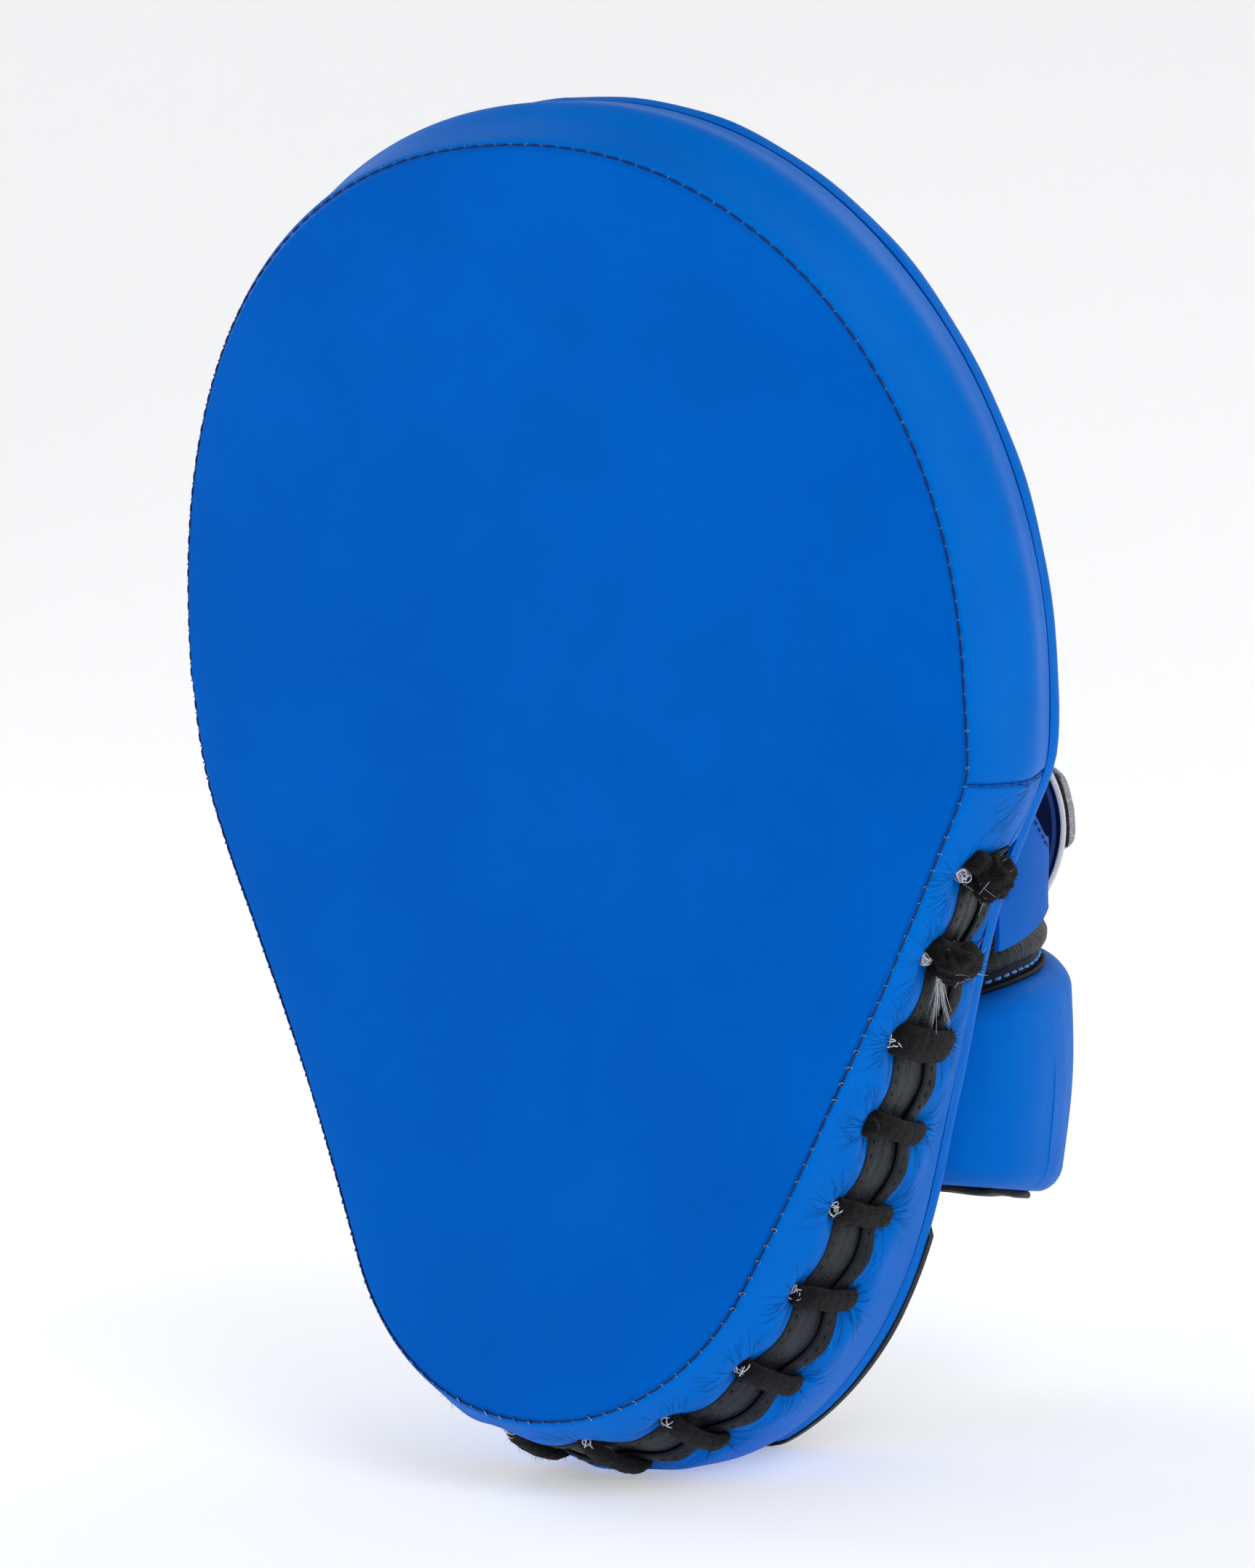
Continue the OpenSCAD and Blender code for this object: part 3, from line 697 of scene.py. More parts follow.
@dataclass(frozen=True)
class Leather(Finish):
    """Coated leather: grain, slow mottle, soft wrinkles, dust and, near lacing, creases darkened with painted
    shade.
    """

    name: str
    slot: str
    colour: Colour
    shade: Colour
    rough: float = 0.46
    specular: float = 0.22
    grain_scale: float = 1500.0
    grain_depth: float = 0.00006
    wrinkle: tuple[float, float, float] = (40.0, 40.0, 40.0)
    wrinkle_depth: float = 0.0
    wrinkle_end: float = 1.0
    gloss: Colour = (0.12, 0.5, 1.0)
    dust: float = 0.0
    creased: bool = False

    def _paint(self, g: Graph, effects: Effects) -> None:
        """Grain and mottle over the base colour."""
        where = g.node("ShaderNodeTexCoord")
        spot = where.outputs["Object"]
        grain = self._group(g, effects.grain, spot, Scale=self.grain_scale)
        colour = g.mix(g.span(grain.outputs["Mottle"], 0.32, 0.7), self.shade, self.colour)
        normal = self._bump(g, grain.outputs["Height"], self.grain_depth)
        if self.wrinkle_depth:
            soft = g.noise(g.stretched(spot, self.wrinkle), 1.0, 3.0, 0.55)
            folds = g.span(g.math("ABSOLUTE", g.math("SUBTRACT", soft, 0.5)), 0.0, 0.09)
            if self.wrinkle_end < 1.0:
                split = g.node("ShaderNodeSeparateXYZ", {0: spot})
                folds = g.math("MULTIPLY", folds, g.span(split.outputs[0], self.wrinkle_end - 0.02,
                                                         self.wrinkle_end, 1.0, 0.0))
            normal = self._bump(g, folds, self.wrinkle_depth, normal)
        if self.creased:
            lines = self._group(g, effects.creases, where.outputs["UV"], Reach=1.5)
            normal = self._bump(g, lines.outputs["Height"], 0.00028, normal)
            # Painted shade: the crease lines are darkened in colour, as if shade lay in them.
            painted_shade = tuple(0.42 * c for c in self.shade)
            colour = g.mix(g.math("MULTIPLY", lines.outputs["Mask"], 0.75), colour, painted_shade)
        if self.dust:
            specks = self._group(g, effects.specks, spot, Scale=55.0)
            colour = g.mix(g.math("MULTIPLY", specks.outputs["Mask"], self.dust), colour, (0.6, 0.75, 0.95))
        rough = g.span(grain.outputs["Mottle"], 0.3, 0.7, self.rough + 0.05, self.rough - 0.04)
        self._shader(g, Base_Color=colour, Roughness=rough, Normal=normal,
                     Specular_IOR_Level=self.specular, Specular_Tint=(*self.gloss, 1.0))


@dataclass(frozen=True)
class Fuzz(Finish):
    """Matted cotton or pile: coarse fibres with a soft sheen."""

    name: str
    slot: str
    colour: Colour
    light: Colour
    scale: float = 1400.0
    depth: float = 0.0004
    sheen: float = 0.35

    def _paint(self, g: Graph, effects: Effects) -> None:
        """Fibrous noise in height, with the colour lighter on the raised strands: painted highlight."""
        spot = g.object_spot()
        matted = g.noise(spot, self.scale, 5.0, 0.7)
        strands = g.noise(g.stretched(spot, (self.scale * 0.35, self.scale, self.scale * 2.0)), 1.0, 3.0, 0.6)
        height = g.math("MULTIPLY_ADD", matted, 0.6, g.math("MULTIPLY", strands, 0.5))
        # Painted highlight: the colour follows the strand bump, lighter on the raised strands.
        colour = g.mix(g.span(strands, 0.48, 0.72), self.colour, self.light)
        self._shader(g, Base_Color=colour, Roughness=0.92, Normal=self._bump(g, height, self.depth),
                     Specular_IOR_Level=0.12, Sheen_Weight=self.sheen, Sheen_Roughness=0.5)


@dataclass(frozen=True)
class Thread(Finish):
    """Twisted sewing thread."""

    name: str
    slot: str
    colour: Colour
    light: Colour
    rough: float = 0.55
    plies: float = 900.0

    def _paint(self, g: Graph, effects: Effects) -> None:
        """Slanting ply lines, with the colour lighter on the raised plies and darker between them: painted
        highlight and shade.
        """
        spot = g.object_spot()
        ply = g.node("ShaderNodeTexWave", {"Vector": spot, "Scale": self.plies, "Distortion": 1.5},
                     wave_type="BANDS", bands_direction="DIAGONAL")
        # Painted highlight and shade: the colour follows the ply bump, lighter on the crests and darker in
        # the grooves.
        colour = g.mix(g.span(ply.outputs["Fac"], 0.2, 0.9), self.colour, self.light)
        self._shader(g, Base_Color=colour, Roughness=self.rough, Specular_IOR_Level=0.3,
                     Normal=self._bump(g, ply.outputs["Fac"], 0.00008))


@dataclass(frozen=True)
class Foam(Finish):
    """Cut foam with open or closed cells."""

    name: str
    slot: str
    colour: Colour
    painted_shade: Colour
    cells: float = 900.0

    def _paint(self, g: Graph, effects: Effects) -> None:
        """Cell pits, with the colour darker in their low parts: painted shade."""
        spot = g.object_spot()
        grain = self._group(g, effects.grain, spot, Scale=self.cells)
        # Painted shade: the colour follows the bump and is darker in the low parts of the cells.
        colour = g.mix(g.span(grain.outputs["Height"], 0.25, 0.75), self.painted_shade, self.colour)
        self._shader(g, Base_Color=colour, Roughness=0.9, Specular_IOR_Level=0.15,
                     Normal=self._bump(g, grain.outputs["Height"], 0.0003))


@dataclass(frozen=True)
class Woven(Finish):
    """Plain woven lining."""

    name: str
    slot: str
    colour: Colour
    light: Colour
    scale: float = 5200.0

    def _paint(self, g: Graph, effects: Effects) -> None:
        """Yarns in height, with the colour lighter where the yarns stand up and darker between them: painted
        highlight and shade.
        """
        spot = g.object_spot()
        weave = self._group(g, effects.weave, spot, Scale=self.scale)
        slow = g.noise(spot, 60.0, 3.0)
        # Painted highlight and shade: the colour follows the weave's bump, lighter where the yarns stand up.
        fade = g.math("MULTIPLY", weave.outputs["Mask"], g.span(slow, 0.3, 0.7, 0.55, 1.0))
        self._shader(g, Base_Color=g.mix(fade, self.colour, self.light), Roughness=0.82,
                     Specular_IOR_Level=0.2, Sheen_Weight=0.15,
                     Normal=self._bump(g, weave.outputs["Height"], 0.00012))


@dataclass(frozen=True)
class Paper(Finish):
    """Smooth studio floor, slightly uneven in tone."""

    name: str = "studio_paper"
    slot: str = ""
    colour: Colour = (0.9, 0.9, 0.9)
    glow: float = 0.35

    def _paint(self, g: Graph, effects: Effects) -> None:
        """Very slow tone change, with a faint even glow."""
        spot = g.object_spot()
        dim = tuple(0.99 * c for c in self.colour)
        self._shader(g, Base_Color=g.mix(g.noise(spot, 3.0, 2.0), dim, self.colour), Roughness=0.9,
                     Specular_IOR_Level=0.1, Emission_Color=(1.0, 1.0, 1.0, 1.0),
                     Emission_Strength=self.glow)


BLUE: Colour = (0.0001, 0.150, 0.62)
BLUE_SHADE: Colour = (0.0001, 0.135, 0.58)
# Painted shade: the face leather is a darker copy of the blue leather, because the face gets less light than
# the gussets.
FACE_LEATHER = Leather("face_leather", "blue_leather", (0.0006, 0.112, 0.53), (0.0004, 0.100, 0.485),
                       dust=0.55, specular=0.03, rough=0.5, grain_depth=0.00003)
GUSSET_LEATHER = Leather("gusset_leather", "blue_gusset", BLUE, BLUE_SHADE, rough=0.42, specular=0.025,
                         grain_depth=0.00004)
LACED_LEATHER = Leather("laced_gusset_leather", "blue_gusset", BLUE, BLUE_SHADE, rough=0.44, specular=0.025,
                        grain_depth=0.00005, creased=True)
BACK_LEATHER = Leather("back_leather", "blue_leather", BLUE, BLUE_SHADE, specular=0.06,
                       wrinkle=(22.0, 60.0, 30.0), wrinkle_depth=0.00012)
CUFF_LEATHER = Leather("cuff_leather", "blue_leather", BLUE, BLUE_SHADE, rough=0.44, specular=0.06,
                       wrinkle=(300.0, 240.0, 90.0), wrinkle_depth=0.00006, wrinkle_end=0.045)
WALL_LEATHER = Leather("wall_leather", "blue_leather", (0.0003, 0.12, 0.54), (0.0002, 0.105, 0.5),
                       specular=0.025)
BLACK_GLOSS: Colour = (0.8, 0.9, 1.0)
BLACK_LEATHER = Leather("black_grain_leather", "black_leather", (0.0075, 0.0095, 0.014),
                        (0.005, 0.0065, 0.009), rough=0.42, specular=0.34, gloss=BLACK_GLOSS,
                        grain_scale=1300.0, grain_depth=0.00016, wrinkle=(160.0, 160.0, 90.0),
                        wrinkle_depth=0.00012)
BLACK_EDGE = Leather("black_binding_leather", "black_leather", (0.007, 0.009, 0.013),
                     (0.0045, 0.006, 0.0085), rough=0.52, specular=0.16, gloss=BLACK_GLOSS,
                     grain_depth=0.0001)
# The second colour of each fuzz is painted highlight for its raised strands.
LACE_LIGHT: Colour = (0.014, 0.014, 0.016)
LACE_COTTON = Fuzz("black_lace_cotton", "black_lace", (0.0025, 0.0025, 0.003), LACE_LIGHT, sheen=0.06)
LACE_FIBRE = Fuzz("black_loose_fibre", "black_lace", (0.003, 0.003, 0.004), LACE_LIGHT, sheen=0.05)
# Pale fibres; at the lace holes their pale colour is a painted glint.
WHITE_FIBRE = Fuzz("pale_loose_fibre", "black_lace", (0.5, 0.52, 0.57), (0.85, 0.87, 0.9), sheen=0.3,
                   depth=0.0001)
PILE = Fuzz("hook_and_loop_pile", "black_pile", (0.005, 0.005, 0.006), (0.06, 0.06, 0.064), scale=1700.0,
            depth=0.0007)
SUEDE = Fuzz("grey_suede_nap", "grey_suede", (0.36, 0.37, 0.40), (0.62, 0.63, 0.66), scale=1200.0,
             depth=0.00025)
RAW_EDGE = Fuzz("raw_cut_edge", "grey_suede", (0.74, 0.75, 0.78), (0.92, 0.92, 0.93), scale=1600.0,
                depth=0.0004)
# The second colour of each thread is painted highlight for its raised plies.
NAVY_THREAD = Thread("navy_sewing_thread", "navy_thread", (0.0008, 0.01, 0.075), (0.002, 0.022, 0.14))
# Painted shade: dark beads that stand for the shade in the needle holes of the face seam.
PAINTED_HOLE_SHADE = Thread("painted_needle_hole_shade", "navy_thread", (0.0004, 0.003, 0.02), (0.0006, 0.005, 0.03))
BLUE_THREAD = Thread("blue_sewing_thread", "navy_thread", (0.0008, 0.05, 0.26), (0.002, 0.085, 0.4))
BLACK_THREAD = Thread("black_sewing_thread", "black_leather", (0.003, 0.003, 0.004), (0.018, 0.02, 0.024))
LIGHT_THREAD = Thread("light_blue_thread", "light_thread", (0.02, 0.23, 0.75), (0.14, 0.46, 0.95))
# Painted glints: pale loops at the stitch ends of the face seam.
PAINTED_GLINT_THREAD = Thread("painted_glint_thread", "light_thread", (0.02, 0.12, 0.42), (0.22, 0.42, 0.72))
# The second colour of each foam is painted shade for the low parts of its cells.
STRIKE_FOAM = Foam("dense_closed_foam", "dense_foam", (0.78, 0.75, 0.64), (0.62, 0.59, 0.5), cells=1400.0)
CORE_FOAM = Foam("grey_core_foam", "core_foam", (0.14, 0.14, 0.15), (0.08, 0.08, 0.09), cells=1100.0)
SOFT_FOAM = Foam("soft_open_foam", "soft_foam", (0.82, 0.80, 0.7), (0.6, 0.57, 0.48), cells=700.0)
# The second colour of each lining is painted highlight where its yarns stand up.
BLACK_LINING = Woven("black_woven_lining", "black_lining", (0.004, 0.004, 0.005), (0.02, 0.02, 0.022))
BLUE_LINING = Woven("dark_blue_lining", "dark_blue_lining", (0.0004, 0.012, 0.11), (0.0008, 0.022, 0.17))


# ---------------------------------------------------------------- the pad's own shape
@dataclass
class Pad:
    """Shape of the bent pad, in millimetres.

    A station runs round the outline from the fingertip end, 56 to a turn, towards the thumb side.
    Depth runs from the face seam to the back. place() turns flat measures into metres.
    """

    radius: float = 390.0
    length: float = 254.0
    width: float = 182.0
    top: float = 32.0
    heel: float = 63.0
    heel_radius: float = 50.0
    taper: float = 0.46
    rise: float = 20.0
    swell_top: float = 1.6
    swell_heel: float = 5.4
    crown: float = 1.8
    pillow: float = 5.5
    back_crown: float = 2.0
    trim: float = 3.2
    leather: float = 1.4
    middle_y: float = -54.45
    turns: float = 56.0
    lace_depth: float = 27.0
    lace_forward: float = 6.0
    lace_back: float = 13.2
    lace_hook: float = 3.0
    opening: float = 15.0
    open_end: float = -11.5
    open_round: float = 9.0
    binding: float = 4.6
    bar: float = 20.8
    pitch: float = 17.5
    bars: int = 17
    lead: float = 6.6
    dip: float = 2.2
    seam: float = 1.2
    hand_shift: float = 4.0
    hand_depth: float = 78.0
    far_blend: float = 3.6
    heel_full: float = 6.0
    pinch: float = 11.0
    ridge: float = 1.5
    puff: float = 0.9
    hole: float = 1.1
    reach: float = 5.2

    def __post_init__(self) -> None:
        """Works out the derived sizes and the length round the outline."""
        self.half_length = self.length / 2
        self.half_width = self.width / 2
        self.heel_v = self.heel_radius - self.half_length
        self.slope = math.hypot(1.0, self.taper)
        self.tangent_v = self.heel_v - self.heel_radius * self.taper / self.slope
        self.foot = -(self.radius + self.heel) * math.sin(self.half_length / self.radius) + self.trim
        self.thumb = self.turns / 4
        self.far = self.turns - self.thumb
        self._stations = np.linspace(-self.thumb - 2, self.turns + 2, 3000)
        u, v = self.outline(self._stations)
        steps = np.hypot(np.diff(u), np.diff(v))
        self._arc = np.concatenate([[0.0], np.cumsum(steps)])
        self._arc -= self.arc(np.array(self.turns / 2))

    def half(self, v: Array, blend: float = 0.8) -> Array:
        """Half width of the face at a height along the bend, where blend softens its widest corner.

        Args:
            v: Distance along the bend.
            blend: Softness of the widest corner.

        Returns:
            The half width.
        """
        span = np.clip((v - self.rise) / (self.half_length - self.rise), 0.0, 1.0)
        head = self.half_width * (1.0 - span ** 2.15) ** (1 / 2.15)
        side = self.heel_radius * self.slope + self.taper * (v - self.heel_v)
        flank = -blend * np.logaddexp(-side / blend, -self.half_width / blend)
        round_heel = np.sqrt(np.maximum(self.heel_radius ** 2 - (v - self.heel_v) ** 2, 0.0))
        return np.where(v >= self.rise, head, np.where(v > self.tangent_v, flank, round_heel))

    def outline(self, station: Array) -> tuple[Array, Array]:
        """Place on the outline, across and along, at a station.

        Args:
            station: Station round the outline.

        Returns:
            Across and along.
        """
        a = TURN * np.asarray(station) / self.turns
        v = self.half_length * np.cos(a)
        return np.where(np.sin(a) >= 0, self.half(v), -self.half(v, self.far_blend)), v

    def outward(self, station: Array) -> tuple[Array, Array]:
        """Outward direction of the outline at a station.

        Args:
            station: Station round the outline.

        Returns:
            Its parts across and along.
        """
        (u1, v1), (u0, v0) = self.outline(station + 0.08), self.outline(station - 0.08)
        long = np.maximum(np.hypot(u1 - u0, v1 - v0), 1e-9)
        return -(v1 - v0) / long, (u1 - u0) / long

    def arc(self, station: Array) -> Array:
        """Length along the outline, 0 at the lowest point."""
        return np.interp(station, self._stations, self._arc)

    def station(self, arc: Array) -> Array:
        """Station at a length along the outline."""
        return np.interp(arc, self._arc, self._stations)

    def place(self, u: Array, v: Array, w: Array, d: Array = 0.0) -> Array:
        """Bends flat measures onto the pad and flattens the foot.

        Args:
            u: Across.
            v: Along the bend.
            w: Depth behind the face seam.
            d: Height over the ground under which nothing goes.

        Returns:
            Places in metres.
        """
        a = v / self.radius
        y = (self.radius + w) * np.cos(a) - self.radius + self.middle_y
        z = (self.radius + w) * np.sin(a) - self.foot - d
        z = 0.4 * np.logaddexp(z / 0.4, 0.0) + d
        return np.stack(np.broadcast_arrays(u, y, z), -1) * MM

    def thick(self, v: Array, s: Array = 1.0) -> Array:
        """Thickness of the pad at a height, where s goes from the middle (0) to the rim (1).

        Args:
            v: Distance along the bend.
            s: Share from the middle to the rim.

        Returns:
            The thickness.
        """
        share = np.clip((v + self.half_length) / self.length, 0.0, 1.0)
        shift = self.heel_full * bump(v, -88, 20) - self.pinch * bump(v, -23, 29)
        return (self.top + (self.heel - self.top) * (1.0 - share) ** 1.7
                + shift * ease((np.asarray(s) - 0.7) / 0.3))

    def lace_middle(self, v: Array) -> Array:
        """Depth of the lace opening's middle at a height."""
        return (self.lace_depth - self.lace_forward * ease((v + 75) / 35)
                + self.lace_back * ease((v + 16) / 16) - self.lace_hook * ease((-98 - v) / 30))

    def open_share(self, v: Array) -> Array:
        """How far the lace opening is open at a height, 0 to 1, with a round upper end."""
        return np.sin(np.clip((self.open_end - v) / self.open_round, 0.0, 1.0) * math.pi / 2) ** 0.6

    def bar_station(self, k: Array) -> Array:
        """Station of a lace bar."""
        return self.station((np.asarray(k) - (self.bars - 1) / 2) * self.pitch - self.lead)

    def bar_count(self, station: Array) -> Array:
        """Number of lace bars up to a station."""
        return (self.arc(station) + self.lead) / self.pitch + (self.bars - 1) / 2

    def pull(self, station: Array) -> Array:
        """How near a lace bar is: 1 on it, 0 between two.

        Args:
            station: Station round the outline.

        Returns:
            The nearness.
        """
        k = self.bar_count(station)
        near = np.clip(np.rint(k), 0, self.bars - 1)
        return bump((k - near) * self.pitch, 0, self.reach)

    def half_gap(self, station: Array) -> Array:
        """Half width of the opening, drawn in at each bar."""
        v = self.outline(station)[1]
        return self.opening / 2 * self.open_share(v) * (1.04 - 0.14 * self.pull(station))

    def swell(self, station: Array, w: Array) -> Array:
        """How far the gusset stands out from the outline, with the dents of the lacing.

        Args:
            station: Station round the outline.
            w: Depth behind the face seam.

        Returns:
            How far it stands out.
        """
        v = self.outline(station)[1]
        share = np.clip(w / self.thick(v), 0.0, 1.0)
        height = self.swell_heel + (self.swell_top - self.swell_heel) * np.clip(
            (v + self.half_length) / self.length, 0.0, 1.0)
        puff = height * np.sin(math.pi * share) ** 0.8
        upper = ease((v + 12) / 40)
        ridge = self.ridge * upper * bump(share, 0.60, 0.17)
        x, opened, pull = w - self.lace_middle(v), self.open_share(v), self.pull(station)
        dent = self.dip * opened * bump(x, 0, self.opening / 2 + 4, 4) * (0.8 + 0.45 * pull)
        puffs = self.puff * opened * (1 - pull) * bump(np.abs(x), 11.5, 5.0)
        hole = self.hole * opened * pull ** 1.6 * bump(np.abs(x), self.bar / 2, 2.6)
        arc = self.arc(station)
        uneven = 0.22 * ripple(arc / 13, w / 9, 0.7) * (1 - upper * 0.6)
        return puff + ridge - dent + puffs - hole + uneven

    def gusset(self, station: Array, w: Array, d: Array = 0.0) -> Array:
        """Place on the gusset, set in by d.

        Args:
            station: Station round the outline.
            w: Depth behind the face seam.
            d: Set-in.

        Returns:
            Places in metres.
        """
        u, v = self.outline(station)
        nu, nv = self.outward(station)
        out = self.swell(station, w) - d
        return self.place(u + nu * out, v + nv * out, w)

    def outwards_at(self, station: Array, w: Array) -> Array:
        """Outward direction in the room at a place on the gusset."""
        return unit(self.gusset(station, w, -1.0) - self.gusset(station, w))

    def back_rise(self, s: Array) -> Array:
        """Height of the pillowed back over its seam."""
        return self.pillow + self.back_crown * (1.0 - s ** 6)

    def back(self, station: Array, q: Array, lift: float = 0.0, low: float = 1.2) -> Array:
        """Place on the back panel: q is 0 in the middle and 1 in the seam.

        Args:
            station: Station round the outline.
            q: Share of the way out.
            lift: Extra height over the panel.
            low: Least height over the ground.

        Returns:
            Places in metres.
        """
        flat = np.clip(q / 0.75, 0.0, 1.0)
        a = np.clip((q - 0.75) / 0.25, 0.0, 1.0) * math.pi / 2
        s = 0.95 * flat + 0.05 * np.sin(a)
        u, v = self.outline(station)
        nu, nv = self.outward(station)
        out = (1.1 * np.sin(2 * a) + lift * np.sin(a)) - 0.1
        w = self.thick(v * s, s)
        rise = self.back_rise(s) * np.cos(a) ** 0.8 + 0.3 + lift * np.cos(a)
        depth = w + rise
        u, v = (u * s + nu * out * np.sin(a)), (v * s + nv * out * np.sin(a))
        return self.place(u, v, depth, low)

    def back_depth(self, u: Array, v: Array) -> Array:
        """Depth of the back panel's outer face at a place."""
        across = np.abs(u) / np.maximum(self.half(v), 1e-6)
        s = np.clip(np.maximum(across, np.abs(v) / self.half_length), 0, 1)
        return self.thick(v, s) + self.back_rise(s)

    def hand_v(self, h: Array) -> Array:
        """Distance along the bend of a height at hand depth."""
        return np.asarray(h) * self.radius / (self.radius + self.hand_depth)

    def over_back(self, x: Array, h: Array, rise: Array) -> Array:
        """Place on the hand side: x from the hand's middle, height h, rise over the back panel.

        Args:
            x: Distance from the hand's middle.
            h: Height.
            rise: Rise over the back panel.

        Returns:
            Places in metres.
        """
        v = self.hand_v(h)
        depth = self.back_depth(x + self.hand_shift, v)
        return self.place(x + self.hand_shift, v, depth + rise)

    def at_depth(self, x: Array, h: Array, depth: Array) -> Array:
        """Place on the hand side at a depth that doesn't follow the back panel."""
        return self.place(x + self.hand_shift, self.hand_v(h), depth)


PAD = Pad()
# A point inside the foam, which the sheets of the jacket face away from.
CORE = PAD.place(np.array(0.0), np.array(-10.0), np.array(25.0))


class Workshop:
    """Gives each new piece its finish, its body and the nodes that it stands for."""

    def __init__(self) -> None:
        """Builds the shared effects."""
        self.effects = Effects()

    def dress(self, obj: bpy.types.Object, finish: Finish) -> None:
        """Gives a piece one finish."""
        obj.data.materials.clear()
        obj.data.materials.append(finish.material(self.effects))

    def hand_over(self, obj: bpy.types.Object, finish: Finish, *nodes: str, body: str = MITT,
                  fill: float = 0.0, crisp: float = 40.0) -> bpy.types.Object:
        """Finishes a piece and ties it to the frame.

        Args:
            obj: The new piece.
            finish: Its finish.
            nodes: CAD nodes that it stands for.
            body: Body that it rides on.
            fill: How full it is, for a padded piece; not used.
            crisp: Angle above which an edge stays sharp, in degrees.

        Returns:
            The same piece.
        """
        keep_above(obj, CLEAR_OF_GROUND)
        smooth(obj, crisp)
        self.dress(obj, finish)
        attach(obj, body)
        if nodes:
            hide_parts(*nodes)
        log.info("%s: %d faces on %s", obj.name, len(obj.data.polygons), body)
        return obj


# ---------------------------------------------------------------- sewing
class Trail:
    """A sampled line on a piece, read by its length in millimetres."""

    def __init__(self, points: Array, outward: Array) -> None:
        """Takes points in metres and the outward direction at each of them."""
        steps = np.linalg.norm(np.diff(points, axis=0), axis=1) / MM
        self._run = np.concatenate([[0.0], np.cumsum(steps)])
        self._points = points
        self._outward = outward
        self.total = float(self._run[-1])

    def _between(self, values: Array, length: Array) -> Array:
        """Values between the samples at a length."""
        return np.stack([np.interp(length, self._run, values[:, k]) for k in range(3)], -1)

    def line(self, length: Array) -> Array:
        """Place at a length."""
        return self._between(self._points, length)

    def out(self, length: Array) -> Array:
        """Outward direction at a length."""
        return unit(self._between(self._outward, length))


@dataclass
class Sewing:
    """Rows of stitches along a line on the pad."""

    pitch: float = 3.5
    length: float = 3.5
    radius: float = 0.21

    def along(self, name: str, trail: Trail, shop: Workshop, finish: Finish, *nodes: str,
              body: str = MITT) -> None:
        """Lays one row of stitches along a trail, with the arguments of row()."""
        self.row(name, trail.line, trail.out, trail.total, shop, finish, *nodes, body=body)

    def row(self, name: str, line: Callable[[Array], Array], out: Callable[[Array], Array],
            total: float, shop: Workshop, finish: Finish, *nodes: str, body: str = MITT) -> Array:
        """Lays one row of stitches.

        Args:
            name: Name of the row.
            line: Place in metres at a length in millimetres.
            out: Outward direction there.
            total: Length of the row.
            shop: The workshop.
            finish: Thread finish.
            nodes: CAD nodes that the row stands for.
            body: Body that it rides on.

        Returns:
            The lengths at which the stitches meet.
        """
        count = max(2, int(round(total / self.pitch)))
        ends = np.linspace(0.0, total, count + 1)
        middle = (ends[1:] + ends[:-1]) / 2
        step = 0.25
        x = unit(line(middle + step) - line(middle - step))
        z = out(middle)
        y = unit(np.cross(z, x))
        z = np.cross(x, y)
        model = stitch_model(self.length * MM, self.radius * MM)
        obj = copies(name, model, np.stack([x, y, z], -1), line(middle))
        shop.hand_over(obj, finish, *nodes, body=body)
        return ends


